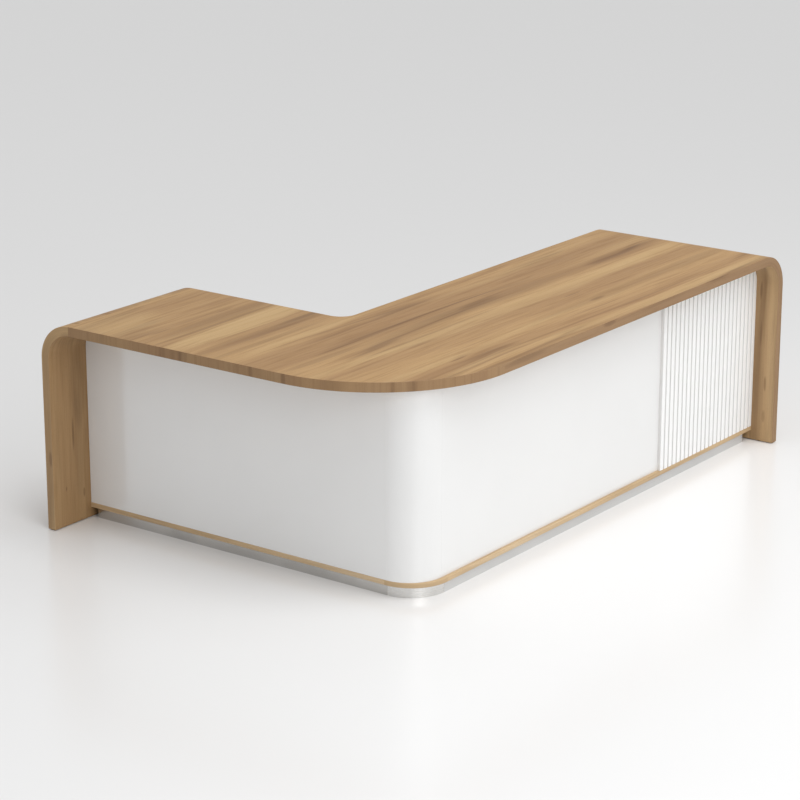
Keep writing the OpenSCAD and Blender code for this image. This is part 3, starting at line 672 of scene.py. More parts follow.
@dataclass(frozen=True)
class WoodVeneer:
    """Satin oak-like veneer: soft bands, wavy dark streaks, fibres, pores and small knots.

    slow_sway and quick_sway say how far the two noises bend the grain, and lift moves the figures
    across it by about as much as the bending does on average.
    """

    name: str
    golden: Colour
    brown: Colour
    pale: Colour
    vein: Colour
    figures: tuple[Figure, ...] = ()
    roughness: float = 0.5
    lift: float = 0.028
    slow_sway: float = 0.05
    quick_sway: float = 0.012
    pore_strength: float = 0.24

    def material(self) -> bpy.types.Material:
        """Builds the veneer from the grain that the mesh stores.

        The grain is first bent sideways a little by two slow noises. Noises stretched along it then
        give bands about 180 mm wide and streaks about 75 mm and 14 mm wide. A dark line lies where
        a stretched noise crosses its middle value, inside a soft brown patch that a slower noise
        picks. A knot is the inside of a stretched cell near its seed, in the cells that a slow
        noise picks. The figures come on top, and the pores last.

        Returns:
            The material.
        """
        make = Recipe(self.name)
        place = make.grain()
        x, y, z = make.parts(place)
        sway = make.maths("MULTIPLY_ADD", Layer(0.5, 1.5).of(make, place), self.slow_sway, y)
        sway = make.maths("MULTIPLY_ADD", Layer(2.4, 6.0).of(make, place), self.quick_sway, sway)
        bent = make.joined(x, sway, z)
        bands = Layer(0.24, 5.6, (0.2, 0.35)).of(make, bent)
        streaks = Layer(0.9, 13.0, (3.1, 0.0), 2.0).of(make, bent)
        lines = Layer(3.2, 70.0, (1.7, 0.0), 2.0, 0.6).of(make, bent)
        fibres = Layer(6.0, 420.0, (7.7, 0.0), 2.0, 0.6).of(make, bent)
        tone: object = self.golden
        for value, low, high, start, end, colour in (
            (bands, 0.38, 0.64, 0.0, 0.6, self.brown),
            (streaks, 0.48, 0.76, 0.0, 0.7, self.brown),
            (streaks, 0.24, 0.48, 0.6, 0.0, self.pale),
            (lines, 0.45, 0.75, 0.0, 0.24, self.vein),
            (fibres, 0.35, 0.7, 0.0, 0.16, self.vein),
        ):
            tone = make.mixed(make.ranged(value, low, high, start, end), tone, colour)
        wave = Layer(0.4, 10.0, (5.3, 2.0)).of(make, bent)
        off = make.maths("ABSOLUTE", make.maths("SUBTRACT", wave, 0.5))
        where = Layer(1.2, 3.6, (9.1, 4.4)).of(make, place)
        knots = make.cells(Layer(2.1, 6.3, (0.4, 0.3)).laid(make, bent))
        rare = Layer(1.1, 2.7, (2.2, 7.3), 0.0).of(make, place)
        for away, inner, outer, pick, low, high, share in (
            (off, 0.0, 0.13, where, 0.52, 0.7, 0.22),
            (off, 0.008, 0.035, where, 0.5, 0.6, 0.34),
            (knots, 0.02, 0.085, rare, 0.5, 0.6, 0.6),
        ):
            near = make.ranged(away, inner, outer, share, 0.0)
            dark = make.maths("MULTIPLY", near, make.ranged(pick, low, high))
            tone = make.mixed(dark, tone, self.vein)
        ragged = make.maths("MULTIPLY_ADD", lines, 1.2, -1.4)
        ragged = make.maths("MULTIPLY_ADD", streaks, 1.6, ragged)
        for way, colour in ((1, self.vein), (-1, self.pale)):
            chosen = [one for one in self.figures if one.strength * way > 0]
            if chosen:
                tone = make.mixed(self.marked(make, bent, ragged, chosen), tone, colour)
        pore = make.ranged(Layer(70.0, 1500.0).of(make, place), 0.62, 0.7)
        deep = make.maths("MULTIPLY", pore, self.pore_strength)
        make.surface(
            Base_Color=make.mixed(deep, tone, self.vein),
            Roughness=make.ranged(lines, 0.3, 0.7, self.roughness - 0.04, self.roughness + 0.06),
            Specular_IOR_Level=0.3,
        )
        height = make.maths("SUBTRACT", fibres, make.maths("MULTIPLY", pore, 0.8))
        make.bumped(height, strength=0.1, depth=0.0003)
        return make.material

    def marked(self, make: Recipe, bent: Socket, ragged: Socket, figures: list[Figure]) -> Socket:
        """How strongly each place is marked by the figures, from 0 to 1.

        Each figure fades with the square of the distance from its middle, counted in its own half
        sizes and made ragged by the streaks.

        Args:
            make: the material under construction.
            bent: the bent grain.
            ragged: a small value that roughens each figure's outline.
            figures: figures that are all darker, or all paler.

        Returns:
            The sum of the figures' strengths there.
        """
        total: object = 0.0
        for one in figures:
            factors = (1 / one.length, 1 / one.width, 0.0)
            middle = (-one.x / one.length, -(one.y + self.lift) / one.width, 0.0)
            square = make.squared(make.stretched(bent, factors, middle))
            away = make.maths("ADD", square, ragged)
            total = make.maths("ADD", make.ranged(away, 0.0, 1.0, abs(one.strength), 0.0), total)
        return total


@dataclass(frozen=True)
class Lacquer:
    """Sprayed lacquer: a clear coat over an even colour, with the faint ripple of spraying.

    mirror is the index of refraction, which sets how strongly it reflects.
    """

    name: str
    colour: Colour
    roughness: float
    coat: float
    coat_roughness: float
    mirror: float
    ripple: float

    def material(self) -> bpy.types.Material:
        """Builds the lacquer: ripples 40 mm apart, and a slow change of tone under two per cent."""
        make = Recipe(self.name)
        dust = make.even(waves=900.0, detail=1.0)
        make.surface(
            Base_Color=make.clouded(self.colour, spread=0.985, waves=3.0),
            Roughness=make.ranged(dust, 0.3, 0.75, self.roughness * 0.9, self.roughness * 1.15),
            IOR=self.mirror,
            Coat_Weight=self.coat,
            Coat_Roughness=self.coat_roughness,
        )
        make.bumped(make.even(waves=25.0, detail=1.0), self.ripple, depth=0.0004)
        return make.material


@dataclass(frozen=True)
class FlutedLacquer:
    """Satin lacquer on a face towards -Y with upright grooves, whose walls carry painted shade: the
    colour greys down them.

    The tone goes to the groove's colour, a painted shade, between lip and depth behind the face.
    """

    name: str
    colour: Colour
    groove: Colour
    face: float
    depth: float
    lip: float = 0.0006
    roughness: float = 0.38

    def material(self) -> bpy.types.Material:
        """Builds the lacquer."""
        make = Recipe(self.name)
        _, back, _ = make.parts(make.place())
        # Painted shade: the colour greys with depth behind the face, down the grooves' walls.
        deep = make.ranged(back, self.face + self.lip, self.face + self.depth)
        tone = make.clouded(self.colour, spread=0.985, waves=3.0)
        dust = make.even(waves=900.0, detail=1.0)
        make.surface(
            Base_Color=make.mixed(deep, tone, self.groove),
            Roughness=make.ranged(dust, 0.3, 0.75, self.roughness * 0.9, self.roughness * 1.15),
            Coat_Weight=0.1,
        )
        make.bumped(dust, strength=0.03, depth=0.0002)
        return make.material


@dataclass(frozen=True)
class BrushedMetal:
    """Metal with fine scratches along its length, which blur what it reflects.

    along holds the scratches' waves to the metre in each direction, strength is their depth and
    spread the factor of its darker clouds. metallic is below 1 where a satin lacquer covers it.
    """

    name: str
    colour: Colour
    roughness: float
    along: Triple
    strength: float = 0.1
    spread: float = 0.82
    metallic: float = 1.0

    def material(self) -> bpy.types.Material:
        """Builds the metal."""
        make = Recipe(self.name)
        scratches = make.noise(make.stretched(make.place(), self.along), detail=3.0, rough=0.7)
        make.surface(
            Base_Color=make.clouded(self.colour, self.spread, waves=5.0, low=0.25),
            Metallic=self.metallic,
            Roughness=make.ranged(scratches, 0.3, 0.7, self.roughness * 0.8, self.roughness * 1.25),
        )
        make.bumped(scratches, self.strength, depth=0.0002)
        return make.material


@dataclass(frozen=True)
class GrainedPlastic:
    """Melamine, moulded plastic or powder coat: an even colour over a fine texture.

    waves is the texture's number of waves to the metre, and strength its depth.
    """

    name: str
    colour: Colour
    roughness: float
    waves: float
    strength: float
    spread: float = 0.94

    def material(self) -> bpy.types.Material:
        """Builds the facing."""
        make = Recipe(self.name)
        pebbles = make.even(self.waves, rough=0.6)
        make.surface(
            Base_Color=make.clouded(self.colour, self.spread, waves=4.0),
            Roughness=make.ranged(pebbles, 0.3, 0.7, self.roughness * 0.88, self.roughness * 1.12),
        )
        make.bumped(pebbles, self.strength, depth=0.0003)
        return make.material


@dataclass(frozen=True)
class PlainWood:
    """Light drawer-box wood or raw board, with its grain along one axis of the object.

    waves counts the broad noise's waves to the metre, and the fine one has fineness times as many.
    """

    name: str
    light: Colour
    dark: Colour
    waves: Triple
    roughness: float = 0.5
    fineness: float = 11.0

    def material(self) -> bpy.types.Material:
        """Builds the wood from two noises stretched along the grain."""
        make = Recipe(self.name)
        place = make.place()
        figure = make.noise(make.stretched(place, self.waves), detail=4.0, rough=0.6)
        fine = make.noise(make.stretched(place, tuple(w * self.fineness for w in self.waves)))
        tone = make.mixed(make.ranged(figure, 0.35, 0.7), self.light, self.dark)
        make.surface(
            Base_Color=make.mixed(make.ranged(fine, 0.4, 0.7, 0.0, 0.25), tone, self.dark),
            Roughness=make.ranged(fine, 0.3, 0.7, self.roughness - 0.06, self.roughness + 0.08),
        )
        make.bumped(fine, strength=0.15, depth=0.0003)
        return make.material


BOX_WOOD = {"light": linear(221, 198, 160), "dark": linear(196, 168, 127)}


class Finish(Enum):
    """The desk's finishes. Each value is a recipe, whose material is made once."""

    WOOD = WoodVeneer(
        "oak_veneer", golden=linear(190, 153, 106), brown=linear(160, 123, 84),
        pale=linear(202, 169, 120), vein=linear(103, 72, 44), figures=TOP_FIGURE,
    )
    EDGE = WoodVeneer(
        "oak_edge", golden=linear(157, 126, 90), brown=linear(146, 115, 83),
        pale=linear(164, 135, 99), vein=linear(104, 76, 52), figures=EDGE_FIGURE,
    )
    # INNER, LEG and LEG_EDGE are copies of the same veneer on the legs' faces; their tones are partly
    # the veneer's own and partly painted light and shade, set by how light falls on each face.
    INNER = WoodVeneer(
        "oak_veneer_inner", golden=linear(191, 159, 116), brown=linear(178, 146, 107),
        pale=linear(202, 172, 130), vein=linear(108, 79, 54), figures=INNER_FIGURE,
    )
    LEG = WoodVeneer(
        "oak_veneer_leg", golden=linear(167, 134, 94), brown=linear(152, 120, 82),
        pale=linear(177, 146, 105), vein=linear(96, 69, 46), figures=LEG_FIGURE,
    )
    LEG_EDGE = WoodVeneer(
        "oak_edge_leg", golden=linear(185, 154, 112), brown=linear(173, 142, 102),
        pale=linear(193, 164, 123), vein=linear(112, 84, 60), figures=EDGE_FIGURE,
    )
    TRIM = WoodVeneer(
        "oak_edging", golden=linear(208, 181, 143), brown=linear(191, 163, 126),
        pale=linear(214, 192, 160), vein=linear(137, 109, 82),
    )
    PANEL = Lacquer(
        "white_gloss_lacquer", colour=(0.80, 0.80, 0.795), roughness=0.16,
        coat=0.6, coat_roughness=0.12, mirror=1.8, ripple=0.012,
    )
    # groove is painted shade: the grey that the grooves' walls are coloured.
    SLATS = FlutedLacquer(
        "white_satin_lacquer", colour=(0.91, 0.91, 0.905), groove=(0.79, 0.785, 0.775),
        face=-0.696, depth=0.003,
    )
    # The three plinth finishes are copies of one brushed metal with painted light and shade: the
    # return's piece is darker and the corner's lighter, by how light falls on each.
    PLINTH_X = BrushedMetal(
        "brushed_plinth_main", colour=(0.63, 0.63, 0.625), roughness=0.34,
        along=(2.0, 900.0, 900.0), strength=0.04, spread=0.95, metallic=0.25,
    )
    PLINTH_BEND = BrushedMetal(
        "brushed_plinth_corner", colour=(0.72, 0.715, 0.70), roughness=0.26,
        along=(5.0, 5.0, 900.0), strength=0.05, spread=0.92,
    )
    PLINTH_Y = BrushedMetal(
        "brushed_plinth_return", colour=(0.6, 0.59, 0.575), roughness=0.2, along=(900.0, 6.0, 900.0)
    )
    STEEL = BrushedMetal(
        "zinc_steel", colour=(0.60, 0.61, 0.62), roughness=0.32, along=(260.0, 14.0, 260.0),
        strength=0.06,
    )
    HANDLE = GrainedPlastic(
        "dark_powder_coat", linear(52, 52, 55), roughness=0.42, waves=1400.0, strength=0.12
    )
    BLACK = GrainedPlastic(
        "black_plastic", linear(30, 30, 31), roughness=0.55, waves=1200.0, strength=0.15
    )
    BOARD = GrainedPlastic(
        "white_melamine", linear(226, 226, 222), roughness=0.45, waves=800.0, strength=0.1,
        spread=0.985,
    )
    RAIL = PlainWood(
        "raw_dark_board", linear(92, 84, 76), linear(66, 60, 55), (120.0, 120.0, 120.0), 0.7
    )
    BOX_Y = PlainWood("drawer_wood_sides", **BOX_WOOD, waves=(40.0, 3.0, 60.0))
    BOX_X = PlainWood("drawer_wood_ends", **BOX_WOOD, waves=(3.0, 40.0, 60.0))

    def material(self) -> bpy.types.Material:
        """This finish's material, made the first time that it is asked for."""
        found = bpy.data.materials.get(self.value.name)
        return found or self.value.material()


def coat(finish: Finish, *nodes: str) -> None:
    """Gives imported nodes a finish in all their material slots, and reports each."""
    for node in nodes:
        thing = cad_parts[node]
        if not thing.material_slots:
            thing.data.materials.append(finish.material())
        for place in thing.material_slots:
            place.material = finish.material()
        LOG.info("finished %s in %s", node, finish.value.name)


def add(
    shell: Shell, name: str, body: str, finish: Finish | tuple[Finish, ...], slot: str, *nodes: str
) -> None:
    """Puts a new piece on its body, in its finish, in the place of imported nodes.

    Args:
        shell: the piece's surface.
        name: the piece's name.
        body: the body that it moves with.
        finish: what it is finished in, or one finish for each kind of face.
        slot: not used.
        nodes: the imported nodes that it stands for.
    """
    piece = shell.to_object(name)
    for one in finish if isinstance(finish, tuple) else (finish,):
        piece.data.materials.append(one.material())
    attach(piece, body)
    if nodes:
        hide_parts(*nodes)
    LOG.info("made %s, %d faces, on %s", name, len(piece.data.polygons), body)


# Sub-assemblies

@dataclass
class Worktop:
    """The L-shaped top and its two bent ends, with grain along the main arm and down the legs.

    edge_shift and turn_shift are the places in the wood of the top's edge and of the return's leg.
    """

    corner_r: float = 0.515
    inner_r: float = 0.060
    ease: float = 0.0015
    bend_steps: int = 24
    edge_shift: float = 0.41
    turn_shift: float = 3.7
    low: Array = field(init=False)
    high: Array = field(init=False)
    main_edge: float = field(init=False)
    return_edge: float = field(init=False)

    def __post_init__(self) -> None:
        """Reads the arms' outer sizes from the frame."""
        self.low, self.high = span("worktop")
        self.main_edge = span("main_end")[1][1]
        self.return_edge = span("return_end")[1][0]

    def slab_outline(self) -> Outline:
        """The L in plan, anticlockwise from the main arm's front end, with square joints' edges."""
        return outline_of([
            Corner(self.low[0], self.low[1], self.corner_r),
            Corner(self.high[0], self.low[1], 0.0, False),
            Corner(self.high[0], self.main_edge),
            Corner(self.return_edge, self.main_edge, self.inner_r),
            Corner(self.return_edge, self.high[1], 0.0, False),
            Corner(self.low[0], self.high[1]),
        ], FINE_TURN)

    def slab_edge_grain(self, world: Array, local: Array) -> Array:
        """Grain of the slab's edge.

        Along the main arm it follows the edge. Round the outer corner and along the return's outer
        side it stands upright, so the streaks show as short bars; there the distance across is
        measured round the corner as the angle times its radius.
        """
        x, y, z = np.moveaxis(world, -1, 0)
        depth = self.high[2] - z
        long_way = np.stack([x, self.edge_shift + depth, y], axis=-1)
        centre = self.low[:2] + self.corner_r
        angle = np.clip(np.arctan2(centre[1] - y, centre[0] - x), 0, RIGHT_ANGLE)
        round_gone = np.where(y > centre[1], centre[1] - y, angle * self.corner_r)
        upright = np.stack([depth + self.turn_shift, round_gone, z * 0], axis=-1)
        middle = world.mean(axis=1)
        outer_side = (middle[:, 0] < centre[0]) & (middle[:, 1] < centre[1])
        outer_side |= middle[:, 0] < self.low[0] + self.ease
        return np.where(outer_side[:, None, None], upright, long_way)

    def top_grain(self, world: Array, local: Array) -> Array:
        """Grain of the flat faces: along X, across Y, with the depth below the top as the third."""
        return np.stack([world[..., 0], world[..., 1], self.high[2] - world[..., 2]], axis=-1)

    def slab(self) -> Shell:
        """The flat top, as its plan carried through its thickness, with its edge of kind 1."""
        return board_of(
            self.slab_outline(), (0, 1, 2), self.low[2], self.high[2], self.ease,
            self.slab_edge_grain, self.top_grain, lambda local: one_kind(local) + 1,
        )

    def bend(self, node: str, way: Array, across: Array, joint: float, shift: float) -> Shell:
        """A quarter bend and its leg, as the board's section carried along the bend's outer line.

        Round the bend the outer line is the centre plus the radius times (sin t, cos t), for t from
        0 to a right angle; then it runs straight down to the glides.

        Args:
            node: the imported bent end.
            way: unit vector from the joint outwards.
            across: unit vector along the joint.
            joint: the joint's coordinate along way.
            shift: distance along the grain at the joint.

        Returns:
            The closed shell.
        """
        low, high = span(node)
        thickness = self.high[2] - self.low[2]
        radius = float(high @ way) - joint
        angles = np.linspace(0, RIGHT_ANGLE, self.bend_steps + 1)
        drop, inset = eased_ends(high[2] - low[2] - radius, 0.0, self.ease)
        down = drop[1:]
        lean = np.append(angles, np.full(len(down), RIGHT_ANGLE))
        out = joint + radius * np.sin(lean)
        rise = high[2] - radius * (1 - np.cos(lean)) - np.append(angles * 0, down)
        gone = radius * lean + np.append(angles * 0, down)
        track = Track(
            out[:, None] * way + rise[:, None] * Z_WAY,
            np.broadcast_to(across, (len(out), 3)),
            np.sin(lean)[:, None] * way + np.cos(lean)[:, None] * Z_WAY,
            np.append(angles * 0, inset[1:]),
            gone,
        )
        section = oblong((low @ across, -thickness), (high @ across, 0.0), self.ease)

        def is_broad(local: Array) -> Array:
            """Whether each face lies on one of the board's two broad sides."""
            return np.ptp(local[..., 1], axis=1) > np.ptp(local[..., 2], axis=1)

        def sides(world: Array, local: Array) -> Array:
            """Along the track; on the board's narrow edges, depth and width change places."""
            along, wide, above = np.moveaxis(local, -1, 0)
            flat = np.stack([along + shift, wide, -above], axis=-1)
            edge = np.stack([along + shift, self.edge_shift - above, wide], axis=-1)
            return np.where(is_broad(local)[:, None, None], flat, edge)

        def kinds(local: Array) -> Array:
            """Kind 0 outside, 1 on the narrow edges and 2 inside."""
            inside = local[..., 2].mean(axis=1) < -thickness / 2
            return np.where(is_broad(local), 2 * inside, 1)

        return carried(section, track, sides, along_world((2, 1, 0)), kinds)

    def build(self) -> None:
        """Makes the slab and both bent ends."""
        add(self.slab(), "worktop_slab", "desk", (Finish.WOOD, Finish.EDGE), "wood", "worktop")
        main = self.bend("main_end", X_WAY, Y_WAY, self.high[0], self.high[0])
        main_finish = (Finish.WOOD, Finish.EDGE, Finish.INNER)
        add(main, "main_bent_end", "desk", main_finish, "wood", "main_end")
        back = self.bend("return_end", Y_WAY, X_WAY, self.high[1], self.turn_shift)
        back_finish = (Finish.WOOD, Finish.LEG_EDGE, Finish.LEG)
        add(back, "return_bent_end", "desk", back_finish, "wood", "return_end")


@dataclass
class FrontPanels:
    """The three white panels round the outside, each with eased edges, so their seams show.

    bend_fit is how much smaller a panel's top corner is than the bend over it.
    """

    thickness: float = 0.018
    ease: float = 0.0004
    bend_fit: float = 0.001
    corner_steps: int = 24

    def flat(self, node: str, along: int, bend: str) -> Shell:
        """A flat panel from its seam to the leg, with its top corner following the bend.

        Args:
            node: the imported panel.
            along: the frame's axis that it runs along.
            bend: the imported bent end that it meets.

        Returns:
            The closed shell.
        """
        low, high = span(node)
        through = 1 - along
        small = self.ease * CORNER_OVER_EASE
        bend_r = high[along] - span(bend)[0][along] - self.bend_fit
        face = [along, 2]
        outline = oblong(low[face], high[face], (small, small, bend_r, small), SMOOTH_TURN)
        plain = along_world((2, along, through))
        axes = (along, 2, through)
        return board_of(outline, axes, low[through], high[through], self.ease, plain)

    def corner(self) -> Shell:
        """The curved corner panel: its upright section carried round a quarter circle."""
        low, high = span("corner_panel")
        radius = float(high[0] - low[0])
        total = radius * RIGHT_ANGLE
        gone, inset = eased_ends(total, self.ease, self.ease)
        middle = np.linspace(self.ease, total - self.ease, self.corner_steps + 1)[1:-1]
        half = len(gone) // 2
        gone = np.concatenate([gone[:half], middle, gone[half:]])
        inset = np.concatenate([inset[:half], middle * 0, inset[half:]])
        angles = math.pi + gone / radius
        outward = np.stack([np.cos(angles), np.sin(angles), angles * 0], axis=1)
        centre = np.array([high[0], high[1], low[2]])
        upright = np.broadcast_to(Z_WAY, outward.shape)
        track = Track(centre + radius * outward, upright, outward, inset, gone)
        section = oblong((0.0, -self.thickness), (high[2] - low[2], 0.0), self.ease)
        plain = along_world((2, 1, 0))
        return carried(section, track, plain, plain)

    def build(self) -> None:
        """Makes the three panels."""
        for shell, name, node in (
            (self.flat("return_panel", 1, "return_end"), "return_front_panel", "return_panel"),
            (self.corner(), "curved_corner_panel", "corner_panel"),
            (self.flat("main_panel", 0, "main_end"), "main_front_panel", "main_panel"),
        ):
            add(shell, name, "desk", Finish.PANEL, "gloss_white", node)


@dataclass
class SlattedPanel:
    """The fluted panel: upright slats with rounded edges, whose top follows the bend.

    draft is how far each groove's wall leans, bend_fit how much larger the top's circle is than the
    bend over it, and height_steps the number of lengths that the slats are cut into.
    """

    count: int = 23
    groove: float = 0.009
    depth: float = 0.008
    edge_r: float = 0.001
    draft: float = 0.0003
    bend_fit: float = 0.001
    edge_steps: int = 4
    bend_steps: int = 16
    height_steps: int = 4

    def front(self, length: float) -> Array:
        """The slats' front line in plan, as (distance along, depth).

        Each slat is a quarter round, a flat and a quarter round; each groove is its floor between
        two walls that lean by the draft.
        """
        pitch = (length + self.groove) / self.count
        wide = pitch - self.groove
        angles = np.linspace(0, RIGHT_ANGLE, self.edge_steps + 1)
        rise = self.edge_r * (1 - np.cos(angles))
        fall = self.edge_r * (1 - np.sin(angles))
        left = np.stack([rise, fall], axis=1)
        right = np.stack([wide - rise[::-1], fall[::-1]], axis=1)
        floor = np.array([[wide + self.draft, self.depth], [pitch - self.draft, self.depth]])
        one = np.concatenate([left, right, floor])
        shifts = np.arange(self.count) * pitch
        line = one[None] + np.stack([shifts, shifts * 0], axis=1)[:, None]
        return line.reshape(-1, 2)[: -len(floor)]

    def shell(self) -> Shell:
        """Carries the front line up to the bend.

        A point's height is the panel's foot plus its share of the way to the top there. The top is
        level up to the bend, and then follows a circle: centre height plus the root of (r squared
        minus the distance past the centre squared).
        """
        low, high = span("slat_panel")
        line = self.front(high[0] - low[0])
        radius = high[0] - span("main_end")[0][0] + self.bend_fit
        centre_x, centre_z = high[0] - radius, high[2] - radius
        curve = np.linspace(0, RIGHT_ANGLE, self.bend_steps + 1)[1:-1]
        extra = centre_x - low[0] + radius * np.sin(curve)
        depths = np.interp(extra, line[:, 0], line[:, 1])
        line = np.concatenate([line, np.stack([extra, depths], axis=1)])
        line = line[np.argsort(line[:, 0], kind="stable")]
        past = np.clip(line[:, 0] + low[0] - centre_x, 0, radius)
        top = centre_z + np.sqrt(np.maximum(radius ** 2 - past ** 2, 0))
        height = low[2] + np.linspace(0, 1, self.height_steps + 1)[:, None] * (top - low[2])
        across = np.broadcast_to(line[:, 0] + low[0], height.shape)
        face = np.broadcast_to(line[:, 1] + low[1], height.shape)
        front = np.stack([across, face, height], axis=-1)
        rear = np.stack([across, np.full(height.shape, high[1]), height], axis=-1)
        ring = np.concatenate([front, rear[:, ::-1]], axis=1)
        points = ring.reshape(-1, 3)
        here = np.arange(len(points)).reshape(ring.shape[:2])
        count = len(line)
        fronts, rears = here[:, :count], here[:, count:][:, ::-1]
        foot = np.stack([fronts[0, :-1], rears[0, :-1], rears[0, 1:], fronts[0, 1:]], axis=-1)
        head = np.stack([fronts[-1, :-1], fronts[-1, 1:], rears[-1, 1:], rears[-1, :-1]], axis=-1)
        quads = np.concatenate([quads_between(here), foot, head])
        return Shell(points, quads, points[quads], [], [], one_kind(quads))

    def build(self) -> None:
        """Makes the panel."""
        add(self.shell(), "fluted_panel", "desk", Finish.SLATS, "slat_white", "slat_panel")


@dataclass
class BaseAndPlinth:
    """The wooden base boards and the metal plinth under them.

    flat_shift and edge_shift are the places in the wood of the boards' faces and edges.
    """

    ease: float = 0.003
    corner_r: float = 0.145
    flat_shift: float = 1.9
    edge_shift: float = 0.93

    def board(self, node: str, corner_r: float) -> Shell:
        """A base board: its plan carried through its thickness, with its outer corner rounded.

        Only the outer sides are eased, so the boards meet each other and the legs with no gap.
        """
        low, high = span(node)
        eased = (node != "base_return", False, False, node != "base_main")
        outline = oblong(low, high, (corner_r, 0.0, 0.0, 0.0), SMOOTH_TURN, eased)
        order = (1, 0, 2) if high[1] - low[1] > high[0] - low[0] else (0, 1, 2)

        def edge(world: Array, local: Array) -> Array:
            """Along the board, with height across the grain."""
            gone = world[..., order[0]] + world[..., order[1]] * (corner_r > 0)
            height = world[..., 2]
            return np.stack([gone, height + self.edge_shift, height * 0], axis=-1)

        flat = along_world(order, self.flat_shift)
        return board_of(outline, (0, 1, 2), low[2], high[2], self.ease, edge, flat)

    def build(self) -> None:
        """Makes the base boards and finishes the plinth."""
        for part, radius in (("return", 0.0), ("corner", self.corner_r), ("main", 0.0)):
            node = f"base_{part}"
            add(self.board(node, radius), f"trim_{part}", "desk", Finish.TRIM, "wood", node)
        # Painted light and shade: the plinth's three pieces get toned copies of one metal.
        coat(Finish.PLINTH_Y, "plinth_return")
        coat(Finish.PLINTH_BEND, "plinth_corner")
        coat(Finish.PLINTH_X, "plinth_main")
        coat(Finish.RAIL, "plinth_rails")


@dataclass
class BarHandle:
    """A round bar with domed ends on two flared posts.

    foot is the height of a post's foot before the flare, and sunk says how far below the bar's far
    side a post ends, in radii of the bar.
    """

    post_r: float = 0.004
    post_inset: float = 0.016
    dome: float = 0.0022
    flare: float = 0.0022
    foot: float = 0.0006
    sunk: float = 1.2
    flare_steps: int = 5
    bar_count: int = 32
    post_count: int = 24

    def bar(self, start: Array, way: Array, length: float, radius: float) -> Shell:
        """The bar: a cylinder whose two ends are quarter rounds of the dome's radius."""
        gone, inset = eased_ends(length, self.dome, self.dome)
        return turned(start, way, gone, radius - inset, self.bar_count)

    def post(self, start: Array, way: Array, length: float) -> Shell:
        """A post: a foot that narrows to the shank along a quarter circle, then a plain shank."""
        angles = np.linspace(0, RIGHT_ANGLE, self.flare_steps + 1)
        gone = np.concatenate([[0.0], self.foot + self.flare * np.sin(angles), [length]])
        widening = self.flare * (1 - np.sin(angles))
        radius = self.post_r + np.concatenate([[self.flare], widening, [0.0]])
        return turned(start, way, gone, radius, self.post_count)

    def build(self, node: str, body: str, out: int, along: int) -> None:
        """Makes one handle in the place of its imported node.

        Args:
            node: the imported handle.
            body: the body that carries it.
            out: the frame's axis that it stands off along.
            along: the frame's axis that the bar runs along.
        """
        low, high = span(node)
        cross = 3 - out - along
        radius = (high[cross] - low[cross]) / 2
        start = (low + high) / 2
        start[out] = high[out] - radius
        start[along] = low[along]
        bar = self.bar(start, np.eye(3)[along], high[along] - low[along], radius)
        add(bar, f"{node}_bar", body, Finish.HANDLE, "handle_metal", node)
        places = (low[along] + self.post_inset, high[along] - self.post_inset)
        for number, place in enumerate(places, 1):
            foot = (low + high) / 2
            foot[out] = low[out]
            foot[along] = place
            post = self.post(foot, np.eye(3)[out], high[out] - low[out] - radius * self.sunk)
            add(post, f"{node}_post_{number}", body, Finish.HANDLE, "handle_metal")


@dataclass
class Cupboard:
    """The cupboard on the return: two doors with upright grain on pivots, and white boards.

    arc_fit keeps the radius of a door's round edge just under half its thickness.
    """

    ease: float = 0.0012
    grain_shift: float = 6.1
    arc_fit: float = 1e-5
    handle: BarHandle = field(default_factory=BarHandle)

    def door(self, node: str, pivot_first: bool) -> Shell:
        """A door: its plan, with a round edge about the pivot, carried up its height."""
        low, high = span(node)
        small, full = self.ease * CORNER_OVER_EASE, (high[0] - low[0]) / 2 - self.arc_fit
        near, far = (full, small) if pivot_first else (small, full)
        outline = oblong(low, high, (near, near, far, far), DOOR_TURN)
        grain = along_world((2, 1, 0), self.grain_shift)
        return board_of(outline, (0, 1, 2), low[2], high[2], self.ease, grain)

    def build(self) -> None:
        """Makes the doors and handles, and finishes the boards and fittings."""
        for side, first in (("left", True), ("right", False)):
            body = f"{side}_door"
            leaf = self.door(body, first)
            add(leaf, f"{side}_door_leaf", body, Finish.WOOD, "wood_front", body)
            self.handle.build(f"{side}_door_handle", body, 0, 2)
            coat(Finish.STEEL, f"{side}_door_pivots")
        parts = ("sides", "top", "bottom", "back", "shelf")
        coat(Finish.BOARD, *(f"cupboard_{part}" for part in parts))
        coat(Finish.STEEL, "shelf_pins")
        coat(Finish.BLACK, "door_catch")


